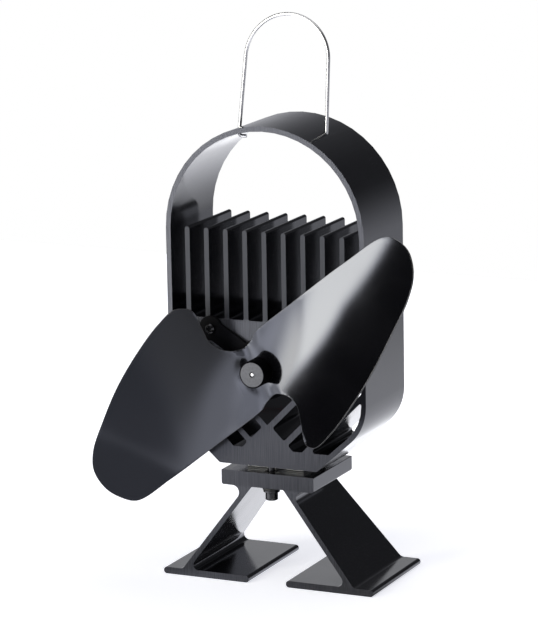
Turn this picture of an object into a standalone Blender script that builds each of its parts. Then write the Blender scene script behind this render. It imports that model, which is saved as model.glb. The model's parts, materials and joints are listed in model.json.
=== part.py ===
"""A stove fan: a finned heat sink on a two-footed stand, a small motor with a two-lobed blade, a wire handle.

Metres, +Z up, +X to the right and -Y towards the front, where the blade is.
The origin is on the floor, under the middle of the whole fan.
The heat sink and the stand are aluminium extrusions, so each is an outline pushed along Y.
"""
import math

import bmesh
import bpy
from mathutils import Matrix, Vector

# Stand: a plate on two splayed legs, each with a flat foot
PLATE_WIDTH = 0.0553
PLATE_DEPTH = 0.0521
PLATE_THICKNESS = 0.0084
PLATE_SETBACK = 0.0023
PLATE_CORNER_RADIUS = 0.0012
STAND_HEIGHT = 0.0626
FOOT_INNER_EDGE = 0.0112
FOOT_OUTER_EDGE = 0.0633
FOOT_DEPTH = 0.0667
FOOT_THICKNESS = 0.0038
LEG_THICKNESS = 0.0028
LEG_TOP_OFFSET = 0.0113
LEG_FOOT_OFFSET = 0.0499
LEG_OUTER_FILLET = 0.0040
LEG_INNER_FILLET = 0.0015
FOOT_FILLET = 0.0030
FOOT_END_SHARE = 0.49

# Heat sink: a ring with straight sides, a crossbar with fins, and ribs that rise from a solid foot
SINK_HEIGHT = 0.1880
SINK_DEPTH = 0.0531
SINK_SETBACK = 0.0035
SINK_FOOT_WIDTH = 0.0582
RING_RADIUS = 0.05875
RING_WALL = 0.0028
RING_SLOPE = math.radians(41.6)
RING_CORNER_RADIUS = 0.0280
RIB_RISE = 0.01905
CROSSBAR_THICKNESS = 0.0060
FIN_COUNT = 9
FIN_THICKNESS = 0.00275
FIN_TOP_RISE = 0.00145
FIN_TIP_SHARE = 0.45
FIN_ROOT_FILLET = 0.0009
RIB_THICKNESS = 0.0032
UPPER_SLOT_WIDTH = 0.0095
LOWER_SLOT_WIDTH = 0.0081
SLOT_FLOOR_RISE = 0.0101
SLOT_CORNER_RADIUS = 0.0014
WEDGE_RISE = 0.0253
MOTOR_PAD_WIDTH = 0.0220
MOTOR_PAD_DROP = 0.0060
MOTOR_PAD_TAPER = 0.0090

# Thermoelectric module, clamped between the plate and the heat sink
MODULE_WIDTH = 0.0340
MODULE_DEPTH = 0.0300
CERAMIC_THICKNESS = 0.00064
PELLET_THICKNESS = 0.00120
SEAL_WIDTH = 0.0014

# Clamp screws, one in front of the module and one behind it
CLAMP_SCREW_RADIUS = 0.0020
CLAMP_SCREW_SPREAD = 0.0407
CLAMP_HEAD_RADIUS = 0.0035
CLAMP_HEAD_HEIGHT = 0.0044
CLAMP_SOCKET_RADIUS = 0.0016
CLAMP_SOCKET_DEPTH = 0.0022
CLAMP_BITE = 0.0100
BUSH_RADIUS = 0.0051
BUSH_SLEEVE_WALL = 0.0010
BUSH_FLANGE = 0.00115
WASHER_THICKNESS = 0.00115
WASHER_RADIUS = 0.0046

# Motor bracket: a plate on the front of the heat sink, held at two screw ports
BRACKET_THICKNESS = 0.0020
BRACKET_SCREW_SPREAD = 0.0640
BRACKET_LUG_RADIUS = 0.0068
BRACKET_DISC_RADIUS = 0.0172
BRACKET_ARM_WIDTH = 0.0110
PORT_RADIUS = 0.0040
PORT_RISE = 0.0006
PORT_DEPTH = 0.0090
BRACKET_SCREW_RADIUS = 0.0015
BRACKET_SCREW_BITE = 0.0065
BRACKET_HEAD_RADIUS = 0.0028
BRACKET_HEAD_HEIGHT = 0.0018
RECESS_REACH_SHARE = 0.6
RECESS_WIDTH_SHARE = 0.2

# Motor
MOTOR_PAD_GAP = 0.0011
MOTOR_RADIUS = 0.0122
MOTOR_WALL = 0.0008
MOTOR_CAN_LENGTH = 0.0240
MOTOR_BOSS_LENGTH = 0.0025
MOTOR_SCREW_RADIUS = 0.0010
MOTOR_SCREW_SPREAD = 0.0160
MOTOR_SCREW_HEAD_RADIUS = 0.0019
MOTOR_SCREW_HEAD_HEIGHT = 0.0012
CAP_PLUG_LENGTH = 0.0017
CAP_FLANGE_LENGTH = 0.0015
SHAFT_RADIUS = 0.00115
BEARING_WALL = 0.0014
BEARING_LENGTH = 0.0026
MAGNET_THICKNESS = 0.0020
MAGNET_LENGTH = 0.0160
MAGNET_HALF_ANGLE = math.radians(62)
CORE_AIR_GAP = 0.0005
CORE_LENGTH = 0.0120
CORE_START = 0.0050
CORE_HUB_WALL = 0.0019
POLE_COUNT = 3
POLE_NECK_WIDTH = 0.0026
POLE_SHOE_THICKNESS = 0.0014
POLE_SHOE_HALF_ANGLE = math.radians(46)
WINDING_THICKNESS = 0.0013
COMMUTATOR_WALL = 0.0010
COMMUTATOR_LENGTH = 0.0025
BRUSH_HEIGHT = 0.0030
BRUSH_WIDTH = 0.0016
BRUSH_LENGTH = 0.0020
TERMINAL_OFFSET = 0.0072
TERMINAL_THICKNESS = 0.0005
TERMINAL_WIDTH = 0.0026
TERMINAL_REACH = 0.0040
LEAD_RADIUS = 0.0006
LEAD_SPREAD = 0.0120
LEAD_BEHIND = 0.0024
LEAD_BEND = 0.0070

# Fan: a pressed sheet blade with two lobes on a turned hub
BLADE_RADIUS = 0.1170
BLADE_THICKNESS = 0.0009
ROTOR_STANDOFF = 0.0089
ROTOR_TURN = math.radians(25.5)
HUB_RADIUS = 0.0075
HUB_LENGTH = 0.0093
HUB_CHAMFER = 0.0004
HUB_BACK_CHAMFER = 0.0008
SPIGOT_RADIUS = 0.0040
COLLAR_RADIUS = 0.0065
COLLAR_THICKNESS = 0.0022
GRUB_SCREW_RADIUS = 0.0015
GRUB_SCREW_LENGTH = 0.0048

# One lobe's outline, walked from the hub along its trailing edge, round the tip and back.
# Each point is (along, across) as a share of the blade's radius; the other lobe is the same, half a turn on.
LOBE_OUTLINE_SHARES = (
    (0.057, -0.168), (0.337, -0.235), (0.648, -0.303), (0.873, -0.336), (0.938, -0.291),
    (0.974, -0.226), (0.968, -0.127), (0.908, -0.036), (0.782, 0.073), (0.622, 0.197),
    (0.448, 0.306), (0.292, 0.385), (0.186, 0.416), (0.129, 0.381), (0.134, 0.297),
    (0.140, 0.212), (0.102, 0.153), (0.030, 0.127), (-0.039, 0.153),
)
# How far the sheet stands in front of the hub's plane, as shares of the radius, on three lines along
# the blade: trailing edge, middle and leading edge.  The first row is at the hub, the second at the tip.
PITCH_LINE_SHARES = (-0.342, 0.000, 0.427)
HUB_PITCH_SHARES = (0.056, 0.000, 0.110)
TIP_PITCH_SHARES = (0.010, 0.174, 0.395)
FLAT_HALF_SHARE = 0.026
BLEND_END_SHARE = 0.145
SHEET_HALF_WIDTH_SHARE = 0.46
SHEET_ROWS = 15
BLEND_STEPS = 5
LOBE_STEPS = 9

# Handle: a wire bail hooked through two holes in the top of the ring
HANDLE_WIRE_RADIUS = 0.0010
HANDLE_SPREAD = 0.0519
HANDLE_TOP_RADIUS = 0.0246
HANDLE_HEIGHT = 0.0639
HANDLE_LEAN = math.radians(9.9)
HANDLE_HOOK_LENGTH = 0.0065
HANDLE_HOOK_BEND = 0.0020

# Clearances and cutting allowances
SEAT_GAP = 0.0003
WELD_DISTANCE = SEAT_GAP / 100
MODULE_GAP = 0.00023
CUT_OVERRUN = 0.0020
ARC_STEP = math.radians(15)
FINE_ARC_STEP = math.radians(7.5)
COARSE_ARC_STEP = math.radians(30)
HUB_SIDES = 40
ROUND_SIDES = 32
SHAFT_SIDES = 24
SMALL_SIDES = 20
SOCKET_SIDES = 6
EDGE_ROOM_SHARE = 0.96

# Heights
PLATE_BOTTOM = STAND_HEIGHT - PLATE_THICKNESS
MODULE_STACK = 2 * CERAMIC_THICKNESS + PELLET_THICKNESS + 4 * MODULE_GAP
SINK_BOTTOM = STAND_HEIGHT + MODULE_STACK
SINK_TOP = SINK_BOTTOM + SINK_HEIGHT
RING_CENTRE_Z = SINK_TOP - RING_RADIUS
RING_INNER = RING_RADIUS - RING_WALL
# The first ribs rise at 45 degrees and meet the ring's inner wall at the crossbar's underside
CROSSBAR_BOTTOM = SINK_BOTTOM + RIB_RISE + RING_INNER
CROSSBAR_TOP = CROSSBAR_BOTTOM + CROSSBAR_THICKNESS
FIN_PITCH = (2 * RING_INNER + FIN_THICKNESS) / (FIN_COUNT + 1)
FIN_TOP = RING_CENTRE_Z + FIN_TOP_RISE
SLOT_FLOOR = SINK_BOTTOM + SLOT_FLOOR_RISE
AXIS_Z = CROSSBAR_BOTTOM - MOTOR_PAD_DROP - MOTOR_PAD_GAP - MOTOR_RADIUS
PORT_Z = CROSSBAR_BOTTOM + PORT_RISE
PORT_X = BRACKET_SCREW_SPREAD / 2

# The ribs run at 45 degrees.  A line at 45 degrees is named by its height where it crosses X = 0.
DIAGONAL = math.sqrt(2)
RIB_1_LOWER = SINK_BOTTOM + RIB_RISE
RIB_1_UPPER = RIB_1_LOWER + RIB_THICKNESS * DIAGONAL
RIB_2_UPPER = RIB_1_LOWER - UPPER_SLOT_WIDTH * DIAGONAL
RIB_2_LOWER = RIB_2_UPPER - RIB_THICKNESS * DIAGONAL
RIB_3_UPPER = RIB_2_LOWER - LOWER_SLOT_WIDTH * DIAGONAL
RIB_3_LOWER = RIB_3_UPPER - RIB_THICKNESS * DIAGONAL
WEDGE_LINE = SINK_BOTTOM + WEDGE_RISE


def smooth_span(start, leave, end, arrive, steps):
    """Points of a smooth curve that leaves the start and arrives at the end with the given slopes."""
    span = []
    for step in range(steps):
        t = step / steps
        span.append((2 * t**3 - 3 * t**2 + 1) * start + (t**3 - 2 * t**2 + t) * leave
                    + (3 * t**2 - 2 * t**3) * end + (t**3 - t**2) * arrive)
    return span


def smooth_loop(points, steps):
    """A closed smooth curve through the points, with the given steps from each to the next."""
    points = [Vector(point) for point in points]
    count = len(points)
    curve = []
    for index in range(count):
        before, start = points[index - 1], points[index]
        end, after = points[(index + 1) % count], points[(index + 2) % count]
        gap_before = math.sqrt((start - before).length)
        gap = math.sqrt((end - start).length)
        gap_after = math.sqrt((after - end).length)
        leave = end - start + gap * ((start - before) / gap_before - (end - before) / (gap_before + gap))
        arrive = end - start + gap * ((after - end) / gap_after - (after - start) / (gap + gap_after))
        curve += smooth_span(start, leave, end, arrive, steps)
    return curve


def pitch_share(row, across):
    """The parabola through one row of pitch shares, read at a place across the blade."""
    total = 0
    for index, (line, depth) in enumerate(zip(PITCH_LINE_SHARES, row)):
        weight = 1
        for other_index, other in enumerate(PITCH_LINE_SHARES):
            if other_index != index:
                weight *= (across - other) / (line - other)
        total += weight * depth
    return total


def sheet_depth(along, across):
    """How far the blade's sheet stands in front of the hub's plane at a place in that plane."""
    side = 1 if along >= 0 else -1
    share = abs(along) / BLADE_RADIUS
    across_share = across * side / BLADE_RADIUS
    blend = min(max((share - FLAT_HALF_SHARE) / (BLEND_END_SHARE - FLAT_HALF_SHARE), 0), 1)
    blend = blend * blend * (3 - 2 * blend)
    hub = pitch_share(HUB_PITCH_SHARES, across_share)
    tip = pitch_share(TIP_PITCH_SHARES, across_share)
    return BLADE_RADIUS * blend * (hub + (tip - hub) * share)


def blade_outline(steps):
    """Both lobes' outline in the hub's plane, as (along, across)."""
    lobe = [(along * BLADE_RADIUS, across * BLADE_RADIUS) for along, across in LOBE_OUTLINE_SHARES]
    return smooth_loop(lobe + [(-along, -across) for along, across in lobe], steps)


OUTLINE_STEPS = 3
BLADE_REACH = max(sheet_depth(*point) for point in blade_outline(OUTLINE_STEPS))

# Places along Y, from the feet's front.  The whole fan is centred on Y = 0.
ROTOR_REACH = ROTOR_STANDOFF - SINK_SETBACK + BLADE_REACH
FEET_FRONT = (ROTOR_REACH - FOOT_DEPTH) / 2
SINK_FRONT = FEET_FRONT + SINK_SETBACK
SINK_BACK = SINK_FRONT + SINK_DEPTH
SINK_MIDDLE = (SINK_FRONT + SINK_BACK) / 2
ROTOR_PLANE = SINK_FRONT - ROTOR_STANDOFF
BRACKET_BACK = SINK_FRONT - SEAT_GAP
BRACKET_FRONT = BRACKET_BACK - BRACKET_THICKNESS
CAN_FRONT = BRACKET_BACK + SEAT_GAP
CAN_BACK = CAN_FRONT + MOTOR_CAN_LENGTH
CAP_BACK = CAN_BACK + CAP_FLANGE_LENGTH
PLATE_MIDDLE = FEET_FRONT + PLATE_SETBACK + PLATE_DEPTH / 2
MODULE_BACK = PLATE_MIDDLE + MODULE_DEPTH / 2
CAN_INNER = MOTOR_RADIUS - MOTOR_WALL
BEARING_RADIUS = SHAFT_RADIUS + SEAT_GAP + BEARING_WALL


def new_collection(name):
    collection = bpy.data.collections.new(name)
    bpy.context.scene.collection.children.link(collection)
    return collection


def clear_scene():
    for obj in list(bpy.data.objects):
        bpy.data.objects.remove(obj, do_unlink=True)


def material(name, colour, roughness, metallic):
    made = bpy.data.materials.new(name)
    made.use_nodes = True
    shader = made.node_tree.nodes["Principled BSDF"]
    shader.inputs["Base Color"].default_value = (*colour, 1)
    shader.inputs["Roughness"].default_value = roughness
    shader.inputs["Metallic"].default_value = metallic
    return made


clear_scene()
PARTS = new_collection("stove_fan")
CUTTERS = new_collection("stove_fan_cutters")
BLACK_ANODISED = material("black_anodised", (0.035, 0.036, 0.040), 0.32, 0.9)
BLADE_BLACK = material("blade_black", (0.030, 0.031, 0.035), 0.28, 0.8)
HUB_GREY = material("hub_grey", (0.12, 0.12, 0.13), 0.35, 1.0)
POLISHED_STEEL = material("polished_steel", (0.75, 0.75, 0.76), 0.15, 1.0)
BLACK_STEEL = material("black_steel", (0.05, 0.05, 0.055), 0.4, 0.9)
WHITE_CERAMIC = material("white_ceramic", (0.80, 0.80, 0.78), 0.5, 0.0)
PELLET_GREY = material("pellet_grey", (0.25, 0.25, 0.27), 0.5, 0.6)
WHITE_SILICONE = material("white_silicone", (0.75, 0.75, 0.73), 0.6, 0.0)
BUSH_PLASTIC = material("bush_plastic", (0.06, 0.06, 0.06), 0.5, 0.0)
CAN_STEEL = material("can_steel", (0.45, 0.45, 0.46), 0.35, 1.0)
MAGNET_BLACK = material("magnet_black", (0.04, 0.04, 0.04), 0.6, 0.2)
CORE_STEEL = material("core_steel", (0.35, 0.35, 0.36), 0.45, 1.0)
COPPER = material("copper", (0.72, 0.36, 0.20), 0.35, 1.0)
BRONZE = material("bronze", (0.55, 0.38, 0.20), 0.45, 1.0)
CARBON = material("carbon", (0.03, 0.03, 0.03), 0.7, 0.1)
BRASS = material("brass", (0.70, 0.55, 0.25), 0.3, 1.0)
RED_SLEEVE = material("red_sleeve", (0.45, 0.03, 0.03), 0.45, 0.0)
BLACK_SLEEVE = material("black_sleeve", (0.03, 0.03, 0.03), 0.45, 0.0)


def new_object(name, data, finish=None, parent=None, collection=None):
    obj = bpy.data.objects.new(name, data)
    (collection or PARTS).objects.link(obj)
    if finish:
        data.materials.append(finish)
    obj.parent = parent
    return obj


def empty_at(name, location, rotation=(0, 0, 0)):
    """A joint's axis: pieces that turn on it are its children."""
    empty = bpy.data.objects.new(name, None)
    PARTS.objects.link(empty)
    empty.location = location
    empty.rotation_euler = rotation
    return empty


def arc(centre_x, centre_z, radius, start, end, step=ARC_STEP):
    """Points on an arc between two angles, both ends included."""
    count = max(2, math.ceil(abs(end - start) / step))
    angles = [start + (end - start) * index / count for index in range(count + 1)]
    return [(centre_x + radius * math.cos(a), centre_z + radius * math.sin(a)) for a in angles]


def filleted(corners, step=ARC_STEP):
    """A closed outline from (x, z, radius) corners, each rounded by its radius where its edges leave room."""
    count = len(corners)
    spots = [Vector(corner[:2]) for corner in corners]
    halves = []
    for index, here in enumerate(spots):
        halves.append((spots[index - 1] - here).angle(spots[(index + 1) % count] - here) / 2)
    reaches = [corner[2] / math.tan(half) for corner, half in zip(corners, halves)]
    room = [1] * count
    for index in range(count):
        after = (index + 1) % count
        length = (spots[after] - spots[index]).length * EDGE_ROOM_SHARE
        wanted = reaches[index] + reaches[after]
        if wanted > length:
            room[index] = min(room[index], length / wanted)
            room[after] = min(room[after], length / wanted)
    outline = []
    for index, here in enumerate(spots):
        radius = corners[index][2] * room[index]
        if radius == 0:
            outline.append(tuple(here))
            continue
        back = (spots[index - 1] - here).normalized()
        ahead = (spots[(index + 1) % count] - here).normalized()
        start = here + back * reaches[index] * room[index]
        end = here + ahead * reaches[index] * room[index]
        centre = here + (back + ahead).normalized() * radius / math.sin(halves[index])
        first = math.atan2(start.y - centre.y, start.x - centre.x)
        last = math.atan2(end.y - centre.y, end.x - centre.x)
        turn = (last - first + math.pi) % (2 * math.pi) - math.pi
        outline += arc(centre.x, centre.y, radius, first, first + turn, step)
    return outline


def mirrored(points):
    """The same outline on the other side of X = 0."""
    return [(-point[0], *point[1:]) for point in reversed(points)]


def add_loop(curve, points):
    spline = curve.splines.new("POLY")
    spline.points.add(len(points) - 1)
    for spot, (x, z) in zip(spline.points, points):
        spot.co = (x, z, 0, 1)
    spline.use_cyclic_u = True


def mesh_from_curve(curve_object, name, finish, parent=None, collection=None):
    """The curve's evaluated surface as one welded mesh, with the curve's own placing."""
    graph = bpy.context.evaluated_depsgraph_get()
    mesh = bpy.data.meshes.new_from_object(curve_object.evaluated_get(graph))
    matrix = curve_object.matrix_world.copy()
    bpy.data.objects.remove(curve_object, do_unlink=True)
    weld = bmesh.new()
    weld.from_mesh(mesh)
    bmesh.ops.remove_doubles(weld, verts=weld.verts, dist=WELD_DISTANCE)
    bmesh.ops.dissolve_degenerate(weld, dist=WELD_DISTANCE, edges=weld.edges)
    bmesh.ops.recalc_face_normals(weld, faces=weld.faces)
    weld.to_mesh(mesh)
    weld.free()
    obj = new_object(name, mesh, finish, parent, collection)
    obj.matrix_local = matrix
    return obj


UPRIGHT = Matrix.Rotation(math.radians(90), 4, "X")
SIDEWAYS = Matrix.Rotation(math.radians(90), 4, "Z") @ UPRIGHT


def extruded(name, loops, front, back, finish, parent=None, collection=None, facing=UPRIGHT):
    """Outlines in X and Z pushed along Y from front to back.  Loops inside the first one are holes.

    With facing SIDEWAYS the outlines are in Y and Z, and front and back are places along X.
    """
    curve = bpy.data.curves.new(name, "CURVE")
    curve.dimensions = "2D"
    curve.fill_mode = "BOTH"
    curve.extrude = (back - front) / 2
    for loop in loops:
        add_loop(curve, loop)
    curve_object = bpy.data.objects.new(name + "_curve", curve)
    PARTS.objects.link(curve_object)
    middle = (front + back) / 2
    offset = Vector((0, middle, 0)) if facing is UPRIGHT else Vector((middle, 0, 0))
    curve_object.matrix_world = Matrix.Translation(offset) @ facing
    bpy.context.view_layer.update()
    return mesh_from_curve(curve_object, name, finish, parent, collection)


def turned(name, profile, place, finish, parent=None, closed=False, sides=ROUND_SIDES, facing=UPRIGHT):
    """A turned piece.  The profile is (radius, height) and runs down the outer side.

    With facing UPRIGHT its height runs forwards, towards -Y, from the place given.
    """
    mesh = bpy.data.meshes.new(name)
    count = len(profile)
    edges = [(index, index + 1) for index in range(count - 1)]
    if closed:
        edges.append((count - 1, 0))
    mesh.from_pydata([(radius, 0, height) for radius, height in profile], edges, [])
    obj = new_object(name, mesh, finish, parent)
    obj.matrix_local = Matrix.Translation(place) @ facing
    screw = obj.modifiers.new("turn", "SCREW")
    screw.axis = "Z"
    screw.steps = sides
    screw.render_steps = sides
    screw.use_merge_vertices = True
    screw.merge_threshold = WELD_DISTANCE
    screw.use_smooth_shade = True
    return obj


def solid_rod(radius, start, end):
    """The profile of a plain rod between two heights, for a turned piece."""
    return [(0, end), (radius, end), (radius, start), (0, start)]


def tube(outer, inner, start, end):
    """The profile of a plain tube between two heights, for a turned piece."""
    return [(outer, end), (outer, start), (inner, start), (inner, end)]


def peg(name, radius, length, place, facing, sides=SMALL_SIDES, collection=None, finish=None, parent=None):
    """A plain cylinder that starts at the place and runs along the facing's +Z."""
    mesh = bpy.data.meshes.new(name)
    shape = bmesh.new()
    bmesh.ops.create_cone(shape, cap_ends=True, segments=sides, radius1=radius, radius2=radius,
                          depth=length, matrix=Matrix.Translation((0, 0, length / 2)))
    shape.to_mesh(mesh)
    shape.free()
    obj = new_object(name, mesh, finish, parent, collection)
    obj.matrix_local = Matrix.Translation(place) @ facing
    return obj


def block(name, low, high, finish=None, parent=None, collection=None):
    """A box between two corners."""
    mesh = bpy.data.meshes.new(name)
    shape = bmesh.new()
    bmesh.ops.create_cube(shape, size=1)
    size = Vector(high) - Vector(low)
    middle = (Vector(high) + Vector(low)) / 2
    placing = Matrix.Translation(middle) @ Matrix.Diagonal((*size, 1))
    bmesh.ops.transform(shape, matrix=placing, verts=shape.verts)
    shape.to_mesh(mesh)
    shape.free()
    return new_object(name, mesh, finish, parent, collection)


def boolean(target, cutter, operation="DIFFERENCE"):
    """Cut, join or intersect a piece with a hidden helper."""
    cutter.hide_render = True
    cutter.display_type = "WIRE"
    step = target.modifiers.new(cutter.name, "BOOLEAN")
    step.object = cutter
    step.operation = operation
    step.solver = "EXACT"


def drill(target, name, radius, length, place, facing, sides=SMALL_SIDES):
    boolean(target, peg(name, radius, length, place, facing, sides, CUTTERS))


DOWN = Matrix.Rotation(math.radians(180), 4, "X")
UP = Matrix.Identity(4)
BACKWARDS = Matrix.Rotation(math.radians(-90), 4, "X")


# The stand
def stand_outline():
    """Front view: the plate, two legs and two feet in one outline."""
    rise = PLATE_BOTTOM - FOOT_THICKNESS
    run = LEG_FOOT_OFFSET - LEG_TOP_OFFSET
    half_leg = LEG_THICKNESS / 2 * math.hypot(rise, run) / rise
    half_plate = PLATE_WIDTH / 2
    foot_end = FOOT_THICKNESS * FOOT_END_SHARE
    right = [
        (half_plate, STAND_HEIGHT, PLATE_CORNER_RADIUS / 4),
        (half_plate, PLATE_BOTTOM, PLATE_CORNER_RADIUS),
        (LEG_TOP_OFFSET + half_leg, PLATE_BOTTOM, LEG_OUTER_FILLET),
        (LEG_FOOT_OFFSET + half_leg, FOOT_THICKNESS, FOOT_FILLET),
        (FOOT_OUTER_EDGE, FOOT_THICKNESS, foot_end),
        (FOOT_OUTER_EDGE, 0, foot_end),
        (FOOT_INNER_EDGE, 0, foot_end),
        (FOOT_INNER_EDGE, FOOT_THICKNESS, foot_end),
        (LEG_FOOT_OFFSET - half_leg, FOOT_THICKNESS, FOOT_FILLET),
        (LEG_TOP_OFFSET - half_leg, PLATE_BOTTOM, LEG_INNER_FILLET),
    ]
    return filleted(right + mirrored(right))


def stand_side_outline():
    """Side view: the legs' backs slope out from the plate to the feet."""
    plate_front = FEET_FRONT + PLATE_SETBACK
    plate_back = plate_front + PLATE_DEPTH
    return [
        (FEET_FRONT, -CUT_OVERRUN), (FEET_FRONT, FOOT_THICKNESS), (plate_front, PLATE_BOTTOM),
        (plate_front, STAND_HEIGHT + CUT_OVERRUN), (plate_back, STAND_HEIGHT + CUT_OVERRUN),
        (plate_back, PLATE_BOTTOM), (FEET_FRONT + FOOT_DEPTH, FOOT_THICKNESS),
        (FEET_FRONT + FOOT_DEPTH, -CUT_OVERRUN),
    ]


def make_stand():
    stand = extruded("base_stand", [stand_outline()], FEET_FRONT - CUT_OVERRUN,
                     FEET_FRONT + FOOT_DEPTH + CUT_OVERRUN, BLACK_ANODISED)
    reach = FOOT_OUTER_EDGE + CUT_OVERRUN
    side = extruded("stand_side", [stand_side_outline()], -reach, reach, None,
                    collection=CUTTERS, facing=SIDEWAYS)
    boolean(stand, side, "INTERSECT")
    bush_hole = CLAMP_SCREW_RADIUS + SEAT_GAP + BUSH_SLEEVE_WALL + SEAT_GAP
    for name, y in CLAMP_PLACES:
        drill(stand, "plate_hole_" + name, bush_hole, PLATE_THICKNESS + 2 * CUT_OVERRUN,
              (0, y, PLATE_BOTTOM - CUT_OVERRUN), UP)


CLAMP_PLACES = (("front", PLATE_MIDDLE - CLAMP_SCREW_SPREAD / 2),
                ("rear", PLATE_MIDDLE + CLAMP_SCREW_SPREAD / 2))


# The heat sink
def ring_line_x(z, offset):
    """X of the ring's sloping side at a height, moved in by a wall."""
    return SINK_FOOT_WIDTH / 2 + (z - SINK_BOTTOM - offset / math.cos(RING_SLOPE)) / math.tan(RING_SLOPE)


def ring_line_z(x, offset):
    """Height of the ring's sloping side at an X, moved in by a wall."""
    return SINK_BOTTOM + offset / math.cos(RING_SLOPE) + (x - SINK_FOOT_WIDTH / 2) * math.tan(RING_SLOPE)


def sink_outer_outline():
    """The sink's outside: flat foot, sloping sides, straight walls and a half-round top."""
    corners = [
        (SINK_FOOT_WIDTH / 2, SINK_BOTTOM, SLOT_CORNER_RADIUS / 4),
        (RING_RADIUS, ring_line_z(RING_RADIUS, 0), RING_CORNER_RADIUS),
        (RING_RADIUS, RING_CENTRE_Z, 0),
    ]
    top = arc(0, RING_CENTRE_Z, RING_RADIUS, 0, math.pi, FINE_ARC_STEP)[1:-1]
    loop = filleted(corners + [(x, z, 0) for x, z in top] + mirrored(corners), FINE_ARC_STEP)
    return loop


def fin_opening():
    """The space inside the ring above the crossbar, with the fins standing in it."""
    left_wall = (-RING_INNER, CROSSBAR_TOP, FIN_ROOT_FILLET)
    corners = [left_wall]
    tip_radius = FIN_THICKNESS * FIN_TIP_SHARE
    for index in range(FIN_COUNT):
        x = (index - (FIN_COUNT - 1) / 2) * FIN_PITCH
        low, high = x - FIN_THICKNESS / 2, x + FIN_THICKNESS / 2
        corners += [(low, CROSSBAR_TOP, FIN_ROOT_FILLET), (low, FIN_TOP, tip_radius),
                    (high, FIN_TOP, tip_radius), (high, CROSSBAR_TOP, FIN_ROOT_FILLET)]
    corners.append((RING_INNER, CROSSBAR_TOP, FIN_ROOT_FILLET))
    arch = arc(0, RING_CENTRE_Z, RING_INNER, 0, math.pi, FINE_ARC_STEP)
    return filleted(corners + [(x, z, 0) for x, z in arch], COARSE_ARC_STEP)


def motor_opening():
    """The triangle above the ribs: a pad over the motor and two screw ports hang into it."""
    corner_x = CROSSBAR_BOTTOM - RIB_1_UPPER
    half_pad = MOTOR_PAD_WIDTH / 2
    dip = math.sqrt(PORT_RADIUS**2 - PORT_RISE**2)
    start = math.atan2(-PORT_RISE, dip)
    port = arc(PORT_X, PORT_Z, PORT_RADIUS, start, -math.pi - start)
    right = [
        (half_pad, CROSSBAR_BOTTOM - MOTOR_PAD_DROP, SLOT_CORNER_RADIUS),
        (half_pad + MOTOR_PAD_TAPER, CROSSBAR_BOTTOM, SLOT_CORNER_RADIUS),
        *[(x, z, 0) for x, z in reversed(port)],
        (corner_x, CROSSBAR_BOTTOM, SLOT_CORNER_RADIUS / 2),
    ]
    apex = (0, RIB_1_UPPER, SLOT_CORNER_RADIUS / 2)
    return filleted(right + [apex] + mirrored(right), COARSE_ARC_STEP)


def rib_slots():
    """The three slots between the ribs on the right side."""
    radius = SLOT_CORNER_RADIUS
    first = [
        ((WEDGE_LINE - RIB_2_UPPER) / 2, (WEDGE_LINE + RIB_2_UPPER) / 2, radius),
        (RING_INNER, RING_INNER + RIB_2_UPPER, radius),
        (RING_INNER, RING_INNER + RIB_1_LOWER, radius),
        ((WEDGE_LINE - RIB_1_LOWER) / 2, (WEDGE_LINE + RIB_1_LOWER) / 2, radius),
    ]
    second = [
        (WEDGE_LINE - SLOT_FLOOR, SLOT_FLOOR, radius),
        (SLOT_FLOOR - RIB_3_UPPER, SLOT_FLOOR, radius),
        (RING_INNER, RING_INNER + RIB_3_UPPER, radius),
        (RING_INNER, RING_INNER + RIB_2_LOWER, radius),
        ((WEDGE_LINE - RIB_2_LOWER) / 2, (WEDGE_LINE + RIB_2_LOWER) / 2, radius),
    ]
    third = [
        (SLOT_FLOOR - RIB_3_LOWER, SLOT_FLOOR, radius),
        (ring_line_x(SLOT_FLOOR, RING_WALL), SLOT_FLOOR, radius / 2),
        (RING_INNER, ring_line_z(RING_INNER, RING_WALL), RING_CORNER_RADIUS - RING_WALL),
        (RING_INNER, RING_INNER + RIB_3_LOWER, radius / 2),
    ]
    return [filleted(slot, FINE_ARC_STEP * 2) for slot in (first, second, third)]


SIDES = (("left", -1), ("right", 1))
RING_COS = math.sqrt(1 - (HANDLE_SPREAD / 2 / RING_RADIUS) ** 2)
HANDLE_PIVOT_Z = RING_CENTRE_Z + (RING_RADIUS - RING_WALL / 2) * RING_COS
HANDLE_HOLE_RADIUS = (HANDLE_WIRE_RADIUS / math.cos(HANDLE_LEAN)
                      + RING_WALL / RING_COS / 2 * math.tan(HANDLE_LEAN) + SEAT_GAP)


def make_heat_sink():
    slots = rib_slots()
    slots += [mirrored(slot) for slot in slots]
    loops = [sink_outer_outline(), fin_opening(), motor_opening(), *slots]
    sink = extruded("heat_sink", loops, SINK_FRONT, SINK_BACK, BLACK_ANODISED)
    for name, y in CLAMP_PLACES:
        drill(sink, "sink_hole_" + name, CLAMP_SCREW_RADIUS + SEAT_GAP, CLAMP_BITE + SEAT_GAP + CUT_OVERRUN,
              (0, y, SINK_BOTTOM - CUT_OVERRUN), UP)
    for name, side in SIDES:
        drill(sink, "port_" + name, BRACKET_SCREW_RADIUS + SEAT_GAP, PORT_DEPTH + CUT_OVERRUN,
              (side * PORT_X, SINK_FRONT - CUT_OVERRUN, PORT_Z), BACKWARDS)
        drill(sink, "handle_hole_" + name, HANDLE_HOLE_RADIUS, 2 * HANDLE_HOOK_LENGTH,
              (side * HANDLE_SPREAD / 2, SINK_MIDDLE, HANDLE_PIVOT_Z - HANDLE_HOOK_LENGTH), UP)


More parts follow.
